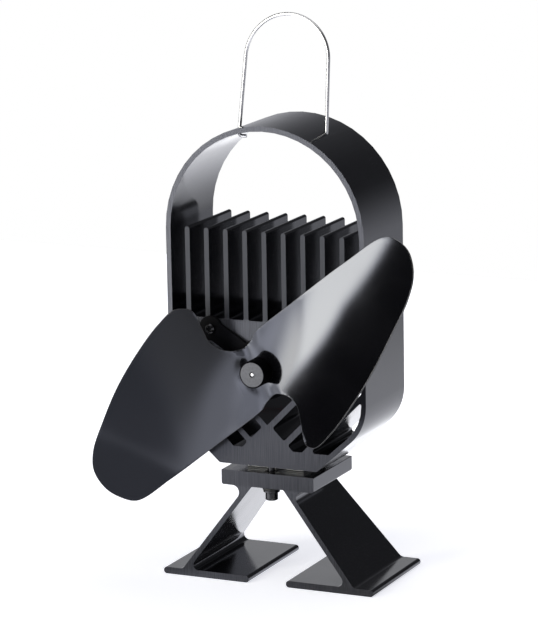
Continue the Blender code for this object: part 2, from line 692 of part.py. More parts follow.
# The thermoelectric module and its clamp screws
def make_module():
    half_width, half_depth = MODULE_WIDTH / 2, MODULE_DEPTH / 2
    hot_bottom = STAND_HEIGHT + MODULE_GAP
    pellet_bottom = hot_bottom + CERAMIC_THICKNESS + MODULE_GAP
    pellet_top = pellet_bottom + PELLET_THICKNESS
    cold_bottom = pellet_top + MODULE_GAP
    front, back = PLATE_MIDDLE - half_depth, PLATE_MIDDLE + half_depth
    for name, bottom in (("module_hot_plate", hot_bottom), ("module_cold_plate", cold_bottom)):
        block(name, (-half_width, front, bottom), (half_width, back, bottom + CERAMIC_THICKNESS),
              WHITE_CERAMIC)
    inset = SEAL_WIDTH + MODULE_GAP
    block("module_pellets", (inset - half_width, front + inset, pellet_bottom),
          (half_width - inset, back - inset, pellet_top), PELLET_GREY)
    seal = block("module_seal", (-half_width, front, pellet_bottom), (half_width, back, pellet_top),
                 WHITE_SILICONE)
    window = block("seal_window",
                   (SEAL_WIDTH - half_width, front + SEAL_WIDTH, pellet_bottom - CUT_OVERRUN),
                   (half_width - SEAL_WIDTH, back - SEAL_WIDTH, pellet_top + CUT_OVERRUN),
                   collection=CUTTERS)
    boolean(seal, window)


def make_clamp(name, y):
    """A socket-head screw from below, with a washer and an insulating bush, that bites into the sink."""
    flange_bottom = PLATE_BOTTOM - SEAT_GAP - BUSH_FLANGE
    flange_top = flange_bottom + BUSH_FLANGE
    washer_bottom = flange_bottom - SEAT_GAP - WASHER_THICKNESS
    head_top = washer_bottom - SEAT_GAP
    head_bottom = head_top - CLAMP_HEAD_HEIGHT
    bore = CLAMP_SCREW_RADIUS + SEAT_GAP
    sleeve = bore + BUSH_SLEEVE_WALL
    chamfer = CLAMP_HEAD_HEIGHT / 10
    place = (0, y, 0)
    turned("clamp_bush_" + name,
           [(sleeve, STAND_HEIGHT), (sleeve, flange_top), (BUSH_RADIUS, flange_top),
            (BUSH_RADIUS, flange_bottom), (bore, flange_bottom), (bore, STAND_HEIGHT)],
           place, BUSH_PLASTIC, closed=True, facing=UP)
    turned("clamp_washer_" + name, tube(WASHER_RADIUS, bore, washer_bottom, washer_bottom + WASHER_THICKNESS),
           place, POLISHED_STEEL, closed=True, facing=UP)
    screw = turned("clamp_screw_" + name,
                   [(0, SINK_BOTTOM + CLAMP_BITE), (CLAMP_SCREW_RADIUS, SINK_BOTTOM + CLAMP_BITE),
                    (CLAMP_SCREW_RADIUS, head_top), (CLAMP_HEAD_RADIUS, head_top),
                    (CLAMP_HEAD_RADIUS, head_bottom + chamfer), (CLAMP_HEAD_RADIUS - chamfer, head_bottom),
                    (0, head_bottom)],
                   place, BLACK_STEEL, facing=UP, sides=SHAFT_SIDES)
    drill(screw, "clamp_socket_" + name, CLAMP_SOCKET_RADIUS, CLAMP_SOCKET_DEPTH + CUT_OVERRUN,
          (0, y, head_bottom - CUT_OVERRUN), UP, sides=SOCKET_SIDES)


# The motor bracket
def bracket_outline():
    """Front view: a disc round the motor, and an arm up to each lug."""
    centre = Vector((0, AXIS_Z))
    lug = Vector((PORT_X, PORT_Z))
    direction = (lug - centre).normalized()
    across = Vector((-direction.y, direction.x)) * BRACKET_ARM_WIDTH / 2
    disc_turn = math.asin(BRACKET_ARM_WIDTH / 2 / BRACKET_DISC_RADIUS)
    lug_turn = math.asin(BRACKET_ARM_WIDTH / 2 / BRACKET_LUG_RADIUS)
    aim = math.atan2(direction.y, direction.x)
    lug_arc = arc(lug.x, lug.y, BRACKET_LUG_RADIUS, aim - math.pi + lug_turn, aim + math.pi - lug_turn)
    under = arc(centre.x, centre.y, BRACKET_DISC_RADIUS, -math.pi / 2, aim - disc_turn)
    over = arc(centre.x, centre.y, BRACKET_DISC_RADIUS, aim + disc_turn, math.pi / 2)
    right = under + lug_arc + over
    return right + mirrored(right)[1:-1]


def make_bracket():
    bracket = extruded("motor_bracket", [bracket_outline()], BRACKET_FRONT, BRACKET_BACK, BLACK_STEEL)
    hole_length = BRACKET_THICKNESS + 2 * CUT_OVERRUN
    start = BRACKET_FRONT - CUT_OVERRUN
    drill(bracket, "bracket_boss_hole", BEARING_RADIUS + 2 * SEAT_GAP + MOTOR_WALL, hole_length,
          (0, start, AXIS_Z), BACKWARDS, sides=ROUND_SIDES)
    for name, side in SIDES:
        drill(bracket, "bracket_lug_hole_" + name, BRACKET_SCREW_RADIUS + SEAT_GAP, hole_length,
              (side * PORT_X, start, PORT_Z), BACKWARDS)
        drill(bracket, "bracket_motor_hole_" + name, MOTOR_SCREW_RADIUS + SEAT_GAP, hole_length,
              (side * MOTOR_SCREW_SPREAD / 2, start, AXIS_Z), BACKWARDS)
        pan_head_screw("bracket_screw_" + name, (side * PORT_X, BRACKET_FRONT - SEAT_GAP, PORT_Z),
                       BRACKET_SCREW_RADIUS, BRACKET_THICKNESS + SEAT_GAP + BRACKET_SCREW_BITE,
                       BRACKET_HEAD_RADIUS, BRACKET_HEAD_HEIGHT)
        pan_head_screw("motor_screw_" + name,
                       (side * MOTOR_SCREW_SPREAD / 2, BRACKET_FRONT - SEAT_GAP, AXIS_Z),
                       MOTOR_SCREW_RADIUS, BRACKET_THICKNESS + 3 * SEAT_GAP + MOTOR_WALL,
                       MOTOR_SCREW_HEAD_RADIUS, MOTOR_SCREW_HEAD_HEIGHT)


def pan_head_screw(name, place, radius, length, head_radius, head_height):
    """A screw from the front, with a domed head and a cross recess."""
    dome = head_height / 2
    screw = turned(name, [(0, head_height), (head_radius - dome, head_height), (head_radius, dome),
                          (head_radius, 0), (radius, 0), (radius, -length), (0, -length)],
                   place, POLISHED_STEEL, sides=SMALL_SIDES)
    reach, slot = head_radius * RECESS_REACH_SHARE, head_radius * RECESS_WIDTH_SHARE
    for turn, (wide, tall) in enumerate(((reach, slot), (slot, reach))):
        recess = block(f"{name}_recess_{turn}", (-wide, -head_height - CUT_OVERRUN, -tall),
                       (wide, -head_height / 2, tall), collection=CUTTERS)
        recess.location = place
        boolean(screw, recess)


# The motor
def make_motor_case():
    """A drawn steel can with a bearing boss in front, closed behind by a plastic cap."""
    pocket = BEARING_RADIUS + SEAT_GAP
    boss = pocket + MOTOR_WALL
    front_face = 0
    can = turned("motor_can",
                 [(pocket, MOTOR_BOSS_LENGTH), (boss, MOTOR_BOSS_LENGTH), (boss, front_face),
                  (MOTOR_RADIUS - MOTOR_WALL / 2, front_face), (MOTOR_RADIUS, -MOTOR_WALL / 2),
                  (MOTOR_RADIUS, -MOTOR_CAN_LENGTH), (CAN_INNER, -MOTOR_CAN_LENGTH),
                  (CAN_INNER, -MOTOR_WALL), (pocket, -MOTOR_WALL)],
                 (0, CAN_FRONT, AXIS_Z), CAN_STEEL, closed=True)
    for name, side in SIDES:
        drill(can, "can_hole_" + name, MOTOR_SCREW_RADIUS + SEAT_GAP, MOTOR_WALL + 2 * CUT_OVERRUN,
              (side * MOTOR_SCREW_SPREAD / 2, CAN_FRONT - CUT_OVERRUN, AXIS_Z), BACKWARDS)
    plug = CAN_INNER - SEAT_GAP
    cap = turned("motor_end_cap",
                 [(pocket, CAP_PLUG_LENGTH), (plug, CAP_PLUG_LENGTH), (plug, -SEAT_GAP),
                  (MOTOR_RADIUS, -SEAT_GAP), (MOTOR_RADIUS, -CAP_FLANGE_LENGTH),
                  (pocket, -CAP_FLANGE_LENGTH)],
                 (0, CAN_BACK, AXIS_Z), BUSH_PLASTIC, closed=True)
    for name, side in SIDES:
        x = side * TERMINAL_OFFSET
        half_thick = TERMINAL_THICKNESS / 2 + SEAT_GAP
        half_wide = TERMINAL_WIDTH / 2 + SEAT_GAP
        slit = block("cap_slit_" + name,
                     (x - half_thick, CAN_BACK - CAP_PLUG_LENGTH - CUT_OVERRUN, AXIS_Z - half_wide),
                     (x + half_thick, CAP_BACK + CUT_OVERRUN, AXIS_Z + half_wide), collection=CUTTERS)
        boolean(cap, slit)


def make_bearings():
    front_start = MOTOR_BOSS_LENGTH - BEARING_LENGTH
    inner = SHAFT_RADIUS + SEAT_GAP
    turned("front_bearing", tube(BEARING_RADIUS, inner, front_start, MOTOR_BOSS_LENGTH),
           (0, CAN_FRONT, AXIS_Z), BRONZE, closed=True, sides=SHAFT_SIDES)
    rear_start = -CAP_FLANGE_LENGTH
    turned("rear_bearing", tube(BEARING_RADIUS, inner, rear_start, rear_start + BEARING_LENGTH),
           (0, CAN_BACK, AXIS_Z), BRONZE, closed=True, sides=SHAFT_SIDES)


def make_magnets():
    outer = CAN_INNER - SEAT_GAP
    inner = outer - MAGNET_THICKNESS
    middle = CAN_FRONT + CORE_START + CORE_LENGTH / 2
    for name, aim in (("left", math.pi), ("right", 0)):
        rim = arc(0, AXIS_Z, outer, aim - MAGNET_HALF_ANGLE, aim + MAGNET_HALF_ANGLE)
        face = arc(0, AXIS_Z, inner, aim + MAGNET_HALF_ANGLE, aim - MAGNET_HALF_ANGLE)
        extruded("motor_magnet_" + name, [rim + face], middle - MAGNET_LENGTH / 2, middle + MAGNET_LENGTH / 2,
                 MAGNET_BLACK)


CORE_RADIUS = CAN_INNER - SEAT_GAP - MAGNET_THICKNESS - CORE_AIR_GAP
CORE_HUB_RADIUS = SHAFT_RADIUS + SEAT_GAP + CORE_HUB_WALL
NECK_END = CORE_RADIUS - POLE_SHOE_THICKNESS


def polar(radius, angle):
    return radius * math.cos(angle), radius * math.sin(angle)


def core_outline():
    """Three poles with wide shoes round a small hub, in the axis's own frame."""
    points = []
    neck_at_hub = math.asin(POLE_NECK_WIDTH / 2 / CORE_HUB_RADIUS)
    neck_at_shoe = math.asin(POLE_NECK_WIDTH / 2 / NECK_END)
    for index in range(POLE_COUNT):
        aim = math.pi / 2 + index * 2 * math.pi / POLE_COUNT
        points.append(polar(CORE_HUB_RADIUS, aim - neck_at_hub))
        points += arc(0, 0, NECK_END, aim - neck_at_shoe, aim - POLE_SHOE_HALF_ANGLE)
        points += arc(0, 0, CORE_RADIUS, aim - POLE_SHOE_HALF_ANGLE, aim + POLE_SHOE_HALF_ANGLE)
        points += arc(0, 0, NECK_END, aim + POLE_SHOE_HALF_ANGLE, aim + neck_at_shoe)
        points.append(polar(CORE_HUB_RADIUS, aim + neck_at_hub))
    return points


def make_armature(axle):
    """The laminated core, one winding on each pole and the commutator, all on the motor's shaft."""
    start = CAN_FRONT + CORE_START - ROTOR_PLANE
    end = start + CORE_LENGTH
    bore = arc(0, 0, SHAFT_RADIUS + SEAT_GAP, 0, 2 * math.pi)[:-1]
    extruded("armature_core", [core_outline(), bore], start, end, CORE_STEEL, axle)
    for index in range(POLE_COUNT):
        make_winding(index, start, end, axle)
    inner = SHAFT_RADIUS + SEAT_GAP
    cap_front = CAN_BACK - CAP_PLUG_LENGTH - ROTOR_PLANE
    turned("commutator", tube(inner + COMMUTATOR_WALL, inner, SEAT_GAP - cap_front,
                              SEAT_GAP + COMMUTATOR_LENGTH - cap_front),
           (0, 0, 0), COPPER, axle, closed=True, sides=SHAFT_SIDES)


def make_winding(index, start, end, axle):
    """A coil round one pole's neck: a rectangular loop pushed out along the pole."""
    inner_wide = POLE_NECK_WIDTH / 2 + SEAT_GAP
    inner_long = (end - start) / 2 + SEAT_GAP
    outer_wide, outer_long = inner_wide + WINDING_THICKNESS, inner_long + WINDING_THICKNESS
    corner = WINDING_THICKNESS
    outer = filleted([(outer_wide, outer_long, corner), (-outer_wide, outer_long, corner),
                      (-outer_wide, -outer_long, corner), (outer_wide, -outer_long, corner)], COARSE_ARC_STEP)
    inner = [(inner_wide, inner_long), (-inner_wide, inner_long), (-inner_wide, -inner_long),
             (inner_wide, -inner_long)]
    low = CORE_HUB_RADIUS + SEAT_GAP
    high = math.sqrt(NECK_END**2 - outer_wide**2) - 2 * SEAT_GAP
    coil = extruded(f"armature_winding_{index + 1}", [outer, inner], low, high, COPPER, axle)
    turn = Matrix.Rotation(-index * 2 * math.pi / POLE_COUNT, 4, "Y")
    coil.matrix_local = (Matrix.Translation((0, (start + end) / 2, 0)) @ turn
                         @ Matrix.Translation((0, 0, (low + high) / 2)))


def make_brushes():
    """Each brush bears on the commutator, held by a brass terminal that comes out through the cap."""
    commutator = SHAFT_RADIUS + SEAT_GAP + COMMUTATOR_WALL
    cap_front = CAN_BACK - CAP_PLUG_LENGTH
    middle = cap_front - SEAT_GAP - COMMUTATOR_LENGTH / 2
    half_tab, half_wide = TERMINAL_THICKNESS / 2, TERMINAL_WIDTH / 2
    for name, side in SIDES:
        near = side * (commutator + SEAT_GAP)
        far = near + side * BRUSH_HEIGHT
        tab = side * TERMINAL_OFFSET
        block("brush_" + name, (min(near, far), middle - BRUSH_LENGTH / 2, AXIS_Z - BRUSH_WIDTH / 2),
              (max(near, far), middle + BRUSH_LENGTH / 2, AXIS_Z + BRUSH_WIDTH / 2), CARBON)
        arm = far + side * SEAT_GAP
        outline = [(arm, middle - BRUSH_LENGTH / 2), (tab + side * half_tab, middle - BRUSH_LENGTH / 2),
                   (tab + side * half_tab, CAP_BACK + TERMINAL_REACH),
                   (tab - side * half_tab, CAP_BACK + TERMINAL_REACH),
                   (tab - side * half_tab, middle), (arm, middle)]
        terminal = extruded("motor_terminal_" + name, [outline], -half_wide, half_wide, BRASS)
        terminal.matrix_world = Matrix.Translation((0, 0, AXIS_Z))


# The rotor
def make_hub(axle):
    """The hub's head is in front of the blade; its spigot goes through, and a collar holds the sheet."""
    bore = SHAFT_RADIUS + SEAT_GAP
    back = -(BLADE_THICKNESS + SEAT_GAP + COLLAR_THICKNESS)
    head_back = SEAT_GAP
    hub = turned("hub",
                 [(bore, HUB_LENGTH), (HUB_RADIUS - HUB_CHAMFER, HUB_LENGTH),
                  (HUB_RADIUS, HUB_LENGTH - HUB_CHAMFER),
                  (HUB_RADIUS, head_back + HUB_BACK_CHAMFER), (HUB_RADIUS - 2 * HUB_BACK_CHAMFER, head_back),
                  (SPIGOT_RADIUS, head_back), (SPIGOT_RADIUS, back), (bore, back)],
                 (0, 0, 0), HUB_GREY, axle, closed=True, sides=HUB_SIDES)
    turned("hub_collar", tube(COLLAR_RADIUS, SPIGOT_RADIUS + SEAT_GAP, back, back + COLLAR_THICKNESS),
           (0, 0, 0), HUB_GREY, axle, closed=True)
    drill_hole = peg("grub_hole", GRUB_SCREW_RADIUS + SEAT_GAP, HUB_RADIUS + CUT_OVERRUN,
                     (0, -HUB_LENGTH / 2, 0), DOWN, collection=CUTTERS)
    drill_hole.parent = axle
    boolean(hub, drill_hole)
    grub_start = SHAFT_RADIUS + SEAT_GAP
    grub = peg("hub_grub_screw", GRUB_SCREW_RADIUS, GRUB_SCREW_LENGTH, (0, -HUB_LENGTH / 2, -grub_start),
               DOWN, finish=BLACK_STEEL, parent=axle)
    socket = peg("grub_socket", GRUB_SCREW_RADIUS / 2, GRUB_SCREW_LENGTH / 2 + CUT_OVERRUN,
                 (0, -HUB_LENGTH / 2, -grub_start - GRUB_SCREW_LENGTH / 2), DOWN, sides=SOCKET_SIDES,
                  collection=CUTTERS)
    socket.parent = axle
    boolean(grub, socket)


def make_shaft(axle):
    """The motor's shaft runs from just inside the hub's face to the rear bearing."""
    front = HUB_LENGTH - SEAT_GAP
    back = ROTOR_PLANE - CAP_BACK + SEAT_GAP
    turned("motor_shaft", solid_rod(SHAFT_RADIUS, back, front), (0, 0, 0), POLISHED_STEEL, axle,
           sides=SHAFT_SIDES)


def sheet_stations():
    """Places along the blade: close together where the sheet leaves the hub's plane."""
    flat = FLAT_HALF_SHARE * BLADE_RADIUS
    blend = BLEND_END_SHARE * BLADE_RADIUS
    half = [flat + (blend - flat) * index / BLEND_STEPS for index in range(BLEND_STEPS)]
    end = BLADE_RADIUS + CUT_OVERRUN
    half += [blend + (end - blend) * index / LOBE_STEPS for index in range(LOBE_STEPS + 1)]
    return [-place for place in reversed(half)] + half


def blade_sheet(axle):
    """The pressed sheet before it is trimmed: a grid lifted by its depth, then thickened."""
    stations = sheet_stations()
    half_width = BLADE_RADIUS * SHEET_HALF_WIDTH_SHARE
    rows = [half_width * (2 * index / SHEET_ROWS - 1) for index in range(SHEET_ROWS + 1)]
    shape = bmesh.new()
    grid = [[shape.verts.new((along, -sheet_depth(along, across), -across)) for across in rows]
            for along in stations]
    for first, second in zip(grid, grid[1:]):
        for index in range(len(rows) - 1):
            shape.faces.new((first[index], first[index + 1], second[index + 1], second[index]))
    bmesh.ops.triangulate(shape, faces=shape.faces, quad_method="SHORT_EDGE")
    bmesh.ops.recalc_face_normals(shape, faces=shape.faces)
    if shape.faces[0].normal.y > 0:
        bmesh.ops.reverse_faces(shape, faces=shape.faces)
    mesh = bpy.data.meshes.new("fan_blade")
    shape.to_mesh(mesh)
    shape.free()
    blade = new_object("fan_blade", mesh, BLADE_BLACK, axle)
    thick = blade.modifiers.new("thickness", "SOLIDIFY")
    thick.thickness = BLADE_THICKNESS
    thick.offset = -1
    return blade


def make_blade(axle):
    blade = blade_sheet(axle)
    outline = [(along, -across) for along, across in blade_outline(OUTLINE_STEPS)]
    hole = arc(0, 0, SPIGOT_RADIUS + SEAT_GAP, 0, 2 * math.pi)[:-1]
    trim = extruded("blade_trim", [outline, hole], -BLADE_REACH - CUT_OVERRUN, BLADE_THICKNESS + CUT_OVERRUN,
                    None, axle, CUTTERS)
    boolean(blade, trim, "INTERSECT")


# The handle
def make_handle():
    """One wire: hook, leg, half-round top, leg, hook.  It leans back on its pivot."""
    pivot = empty_at("handle_pivot", (0, SINK_MIDDLE, HANDLE_PIVOT_Z), (-HANDLE_LEAN, 0, 0))
    half = HANDLE_SPREAD / 2
    hook_drop = RING_WALL / RING_COS / 2 + HANDLE_WIRE_RADIUS + 2 * SEAT_GAP
    bend = HANDLE_HOOK_BEND
    bend_arc = arc(half - bend, bend - hook_drop, bend, -math.pi / 2, 0)
    top_arc = arc(0, HANDLE_HEIGHT - HANDLE_TOP_RADIUS, HANDLE_TOP_RADIUS, 0, math.pi, FINE_ARC_STEP)
    right = [(half - HANDLE_HOOK_LENGTH, -hook_drop)] + bend_arc
    route = right + top_arc + mirrored(right)
    wire = bpy.data.curves.new("wire_handle", "CURVE")
    wire.dimensions = "3D"
    wire.bevel_depth = HANDLE_WIRE_RADIUS
    wire.bevel_resolution = 2
    wire.use_fill_caps = True
    spline = wire.splines.new("POLY")
    spline.points.add(len(route) - 1)
    for spot, (x, z) in zip(spline.points, route):
        spot.co = (x, 0, z, 1)
    new_object("wire_handle", wire, POLISHED_STEEL, pivot)


# The two leads from the module to the motor's terminals
def make_lead(name, side, finish):
    """Out of the module's back edge, up behind the sink and forward to a terminal."""
    x = side * LEAD_SPREAD / 2
    module_z = STAND_HEIGHT + MODULE_STACK / 2
    behind = SINK_BACK + LEAD_BEHIND
    tip = CAP_BACK + TERMINAL_REACH + SEAT_GAP
    end_x = side * TERMINAL_OFFSET
    bend = LEAD_BEND
    route = [
        (x, MODULE_BACK + SEAT_GAP, module_z),
        (x, (MODULE_BACK + behind) / 2, module_z),
        (x, behind - bend / 3, module_z + bend / 6),
        (x, behind, module_z + bend / 2),
        (x, behind, (module_z + AXIS_Z) / 2),
        (x, behind, AXIS_Z - bend),
        ((x + end_x) / 2, behind - bend / 3, AXIS_Z - bend / 4),
        (end_x, behind - bend, AXIS_Z),
        (end_x, tip, AXIS_Z),
    ]
    lead = bpy.data.curves.new(name, "CURVE")
    lead.dimensions = "3D"
    lead.bevel_depth = LEAD_RADIUS
    lead.bevel_resolution = 1
    lead.use_fill_caps = True
    points = smooth_route(route, 4)
    spline = lead.splines.new("POLY")
    spline.points.add(len(points) - 1)
    for spot, place in zip(spline.points, points):
        spot.co = (*place, 1)
    new_object(name, lead, finish)


def smooth_route(points, steps):
    """An open smooth curve through the points."""
    points = [Vector(point) for point in points]
    padded = [2 * points[0] - points[1]] + points + [2 * points[-1] - points[-2]]
    curve = []
    for before, start, end, after in zip(padded, padded[1:], padded[2:], padded[3:]):
        curve += smooth_span(start, (end - before) / 2, end, (after - start) / 2, steps)
    return curve + [points[-1]]


make_stand()
make_heat_sink()
make_module()
for clamp_name, clamp_y in CLAMP_PLACES:
    make_clamp(clamp_name, clamp_y)
make_bracket()
make_motor_case()
make_bearings()
make_magnets()
make_brushes()
ROTOR_AXLE = empty_at("rotor_axle", (0, ROTOR_PLANE, AXIS_Z), (0, -ROTOR_TURN, 0))
make_armature(ROTOR_AXLE)
make_shaft(ROTOR_AXLE)
make_hub(ROTOR_AXLE)
make_blade(ROTOR_AXLE)
make_handle()
make_lead("lead_red", 1, RED_SLEEVE)
make_lead("lead_black", -1, BLACK_SLEEVE)
print("rotor plane", round(ROTOR_PLANE, 5), "axis height", round(AXIS_Z, 5),
      "handle pivot", round(SINK_MIDDLE, 5), round(HANDLE_PIVOT_Z, 5))
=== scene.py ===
# %% [markdown]
# # A stove fan, dressed for its picture
#
# A fan like this stands on a hot stove and drives itself: a thermoelectric module between a
# stand and a finned heat sink feeds a small motor, and the motor turns a two-lobed blade.
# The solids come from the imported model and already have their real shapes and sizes.
# This notebook gives them broken edges, a finer blade and wire, real finishes, a studio and a
# camera. Everything is in metres, +Z is up and the blade faces -Y.

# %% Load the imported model
import json
import math

import bmesh
import bpy
from mathutils import Matrix, Vector
from mathutils.geometry import delaunay_2d_cdt

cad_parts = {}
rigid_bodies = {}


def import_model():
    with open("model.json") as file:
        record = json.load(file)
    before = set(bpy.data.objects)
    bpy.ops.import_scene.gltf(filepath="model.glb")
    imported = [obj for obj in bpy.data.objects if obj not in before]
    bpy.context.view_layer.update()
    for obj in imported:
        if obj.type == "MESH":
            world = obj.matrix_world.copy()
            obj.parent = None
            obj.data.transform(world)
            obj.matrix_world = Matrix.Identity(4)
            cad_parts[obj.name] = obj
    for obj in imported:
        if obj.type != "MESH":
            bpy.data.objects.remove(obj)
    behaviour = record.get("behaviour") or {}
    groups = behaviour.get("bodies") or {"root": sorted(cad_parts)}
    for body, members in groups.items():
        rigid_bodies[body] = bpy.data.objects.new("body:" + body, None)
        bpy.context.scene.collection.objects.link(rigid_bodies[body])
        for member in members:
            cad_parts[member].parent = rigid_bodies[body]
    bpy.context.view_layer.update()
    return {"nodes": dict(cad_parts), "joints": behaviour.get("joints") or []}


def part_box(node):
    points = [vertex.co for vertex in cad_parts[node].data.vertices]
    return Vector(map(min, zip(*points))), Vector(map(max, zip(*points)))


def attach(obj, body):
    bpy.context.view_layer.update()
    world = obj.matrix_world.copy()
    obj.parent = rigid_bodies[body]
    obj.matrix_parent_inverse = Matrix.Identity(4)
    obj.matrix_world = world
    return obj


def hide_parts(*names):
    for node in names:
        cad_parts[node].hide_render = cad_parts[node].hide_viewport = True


for leftover in list(bpy.data.objects):
    bpy.data.objects.remove(leftover, do_unlink=True)
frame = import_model()
MM = 0.001

# %% [markdown]
# ## Where things are
#
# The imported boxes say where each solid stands, so no piece is placed by eye. The camera aims
# from the stand's front edge. The shaft lies on the axis that the blade turns on. The sink's
# and the hub's boxes are needed where a finish changes along a piece, and the sink's also for
# the handle's hooks.

# %% Read the places of the main pieces
STAND_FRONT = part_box("base_stand")[0].y
SINK_LOW, SINK_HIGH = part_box("heat_sink")
SHAFT_LOW, SHAFT_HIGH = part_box("motor_shaft")
HUB_LOW, HUB_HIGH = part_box("hub")
JOINTS = {joint["name"]: joint for joint in frame["joints"]}
AXIS_Z = (SHAFT_LOW.z + SHAFT_HIGH.z) / 2
HUB_RADIUS = (HUB_HIGH.x - HUB_LOW.x) / 2
print("axis height", round(AXIS_Z, 5), "hub radius", round(HUB_RADIUS, 5))
print("sink from", round(SINK_LOW.y, 5), "to", round(SINK_HIGH.y, 5))

# %% [markdown]
# ## The camera
#
# The photograph is taken with a long lens from in front, about 25 degrees to the right of the
# fan's face and 13 degrees above it. A long lens from far away keeps the extruded edges nearly
# parallel, as in the photograph. The camera is built from its azimuth, elevation and roll,
# so that each of the three can be set alone.

# %% Place the camera
IMAGE_HEIGHT = 640
FOCAL_PIXELS = 3574.62
SENSOR = 36
AZIMUTH = math.radians(25.145)
ELEVATION = math.radians(12.532)
ROLL = math.radians(-1.027)
DISTANCE = 1.95469
AIM = Vector((-0.007824, STAND_FRONT + 0.025, 0.143117))


def direction(azimuth, elevation):
    """The way out from the fan at an azimuth, 0 in front and 90 to the right, and an elevation."""
    level = math.cos(elevation)
    return Vector((math.sin(azimuth) * level, -math.cos(azimuth) * level, math.sin(elevation)))


towards = direction(AZIMUTH, ELEVATION)
level_right = Vector((math.cos(AZIMUTH), math.sin(AZIMUTH), 0))
level_up = towards.cross(level_right)
right = math.cos(ROLL) * level_right + math.sin(ROLL) * level_up
up = math.cos(ROLL) * level_up - math.sin(ROLL) * level_right
lens = bpy.data.cameras.new("studio_camera")
lens.sensor_width = SENSOR
lens.lens = FOCAL_PIXELS * SENSOR / IMAGE_HEIGHT
camera = bpy.data.objects.new("studio_camera", lens)
bpy.context.scene.collection.objects.link(camera)
camera_turn = Matrix((right, up, towards)).transposed().to_4x4()
camera.matrix_world = Matrix.Translation(AIM + towards * DISTANCE) @ camera_turn
bpy.context.scene.camera = camera
print("camera at", [round(value, 4) for value in camera.matrix_world.translation])
print("lens", round(lens.lens, 2), "mm")

# %% [markdown]
# ## Shader groups
#
# Several finishes share an effect: fine grain, lines left by a die or a saw, handling marks.
# Each effect is a node group with named inputs, built once and set in each material with its
# own values. The groups only put out values that change over the surface, and the shader
# stays in the material.

# %% Helpers that start a node group and do sums in a tree of nodes
def new_group(name, inputs, outputs):
    """A shader group with (kind, name, value) inputs and named outputs, and its two end nodes."""
    group = bpy.data.node_groups.new(name, "ShaderNodeTree")
    for kind, label, value in inputs:
        socket = group.interface.new_socket(label, in_out="INPUT", socket_type="NodeSocket" + kind)
        socket.default_value = value
    for label in outputs:
        group.interface.new_socket(label, in_out="OUTPUT", socket_type="NodeSocketFloat")
    return group, group.nodes.new("NodeGroupInput"), group.nodes.new("NodeGroupOutput")


def feed(tree, socket, side):
    """Link a node's input to another node's output, or give it a fixed value."""
    if isinstance(side, bpy.types.NodeSocket):
        tree.links.new(side, socket)
    else:
        socket.default_value = side


def vector_math(tree, operation, first, second):
    """One vector operation. Each side is a socket or a fixed vector."""
    node = tree.nodes.new("ShaderNodeVectorMath")
    node.operation = operation
    for socket, side in zip(node.inputs, (first, second)):
        feed(tree, socket, side)
    return node


def value_math(tree, operation, *sides):
    """One operation on numbers. Each side is a socket or a fixed number."""
    node = tree.nodes.new("ShaderNodeMath")
    node.operation = operation
    for socket, side in zip(node.inputs, sides):
        feed(tree, socket, side)
    return node.outputs[0]


def spread_value(tree, value, low, high, to_low=0, to_high=1, smooth=False):
    """A value between low and high mapped onto another range, and kept inside it."""
    node = tree.nodes.new("ShaderNodeMapRange")
    node.interpolation_type = "SMOOTHSTEP" if smooth else "LINEAR"
    tree.links.new(value, node.inputs["Value"])
    limits = {"From Min": low, "From Max": high, "To Min": to_low, "To Max": to_high}
    for label, number in limits.items():
        node.inputs[label].default_value = number
    return node.outputs["Result"]


def separate(tree, vector):
    """The three parts of a vector."""
    node = tree.nodes.new("ShaderNodeSeparateXYZ")
    tree.links.new(vector, node.inputs[0])
    return node.outputs


def mix_colours(tree, factor, first, second):
    """A colour between two others by a factor from 0 to 1. Each is a socket or a fixed colour."""
    node = tree.nodes.new("ShaderNodeMix")
    node.data_type = "RGBA"
    tree.links.new(factor, node.inputs["Factor"])
    feed(tree, node.inputs["A"], first)
    feed(tree, node.inputs["B"], second)
    return node.outputs["Result"]


# %% [markdown]
# ### Stretched grain
#
# Drawn, sawn and turned metal all carry lines in one direction. Noise whose coordinates are
# scaled unequally gives them: a large scale across the lines and a small one along them.
# With equal scales the same group gives the even grain of a cast or sprayed surface.

# %% Build the stretched grain group
LINES, lines_in, lines_out = new_group(
    "stretched_grain",
    [("Vector", "Coordinates", (0, 0, 0)), ("Vector", "Lines per metre", (400, 400, 400)),
     ("Float", "Detail", 3.0)],
    ["Grain"])
scaled = vector_math(LINES, "MULTIPLY",
                     lines_in.outputs["Coordinates"], lines_in.outputs["Lines per metre"])
grain_noise = LINES.nodes.new("ShaderNodeTexNoise")
grain_noise.inputs["Scale"].default_value = 1
grain_noise.inputs["Roughness"].default_value = 0.6
LINES.links.new(scaled.outputs[0], grain_noise.inputs["Vector"])
LINES.links.new(lines_in.outputs["Detail"], grain_noise.inputs["Detail"])
LINES.links.new(grain_noise.outputs[0], lines_out.inputs["Grain"])
print("group", LINES.name)

# %% [markdown]
# ### Handling marks
#
# A used or just unpacked piece of black metal is never evenly glossy. Wide, weak clouds with a
# little fine breakup stand for wiping and handling, and are used to vary the roughness.

# %% Build the handling marks group
MARKS, marks_in, marks_out = new_group(
    "handling_marks",
    [("Vector", "Coordinates", (0, 0, 0)), ("Float", "Marks per metre", 40.0)],
    ["Marks"])
cloud = MARKS.nodes.new("ShaderNodeTexNoise")
cloud.inputs["Detail"].default_value = 4
cloud.inputs["Roughness"].default_value = 0.55
cloud.inputs["Distortion"].default_value = 0.6
MARKS.links.new(marks_in.outputs["Coordinates"], cloud.inputs["Vector"])
MARKS.links.new(marks_in.outputs["Marks per metre"], cloud.inputs["Scale"])
clouds = spread_value(MARKS, cloud.outputs[0], 0.35, 0.7, smooth=True)
MARKS.links.new(clouds, marks_out.inputs["Marks"])
print("group", MARKS.name)

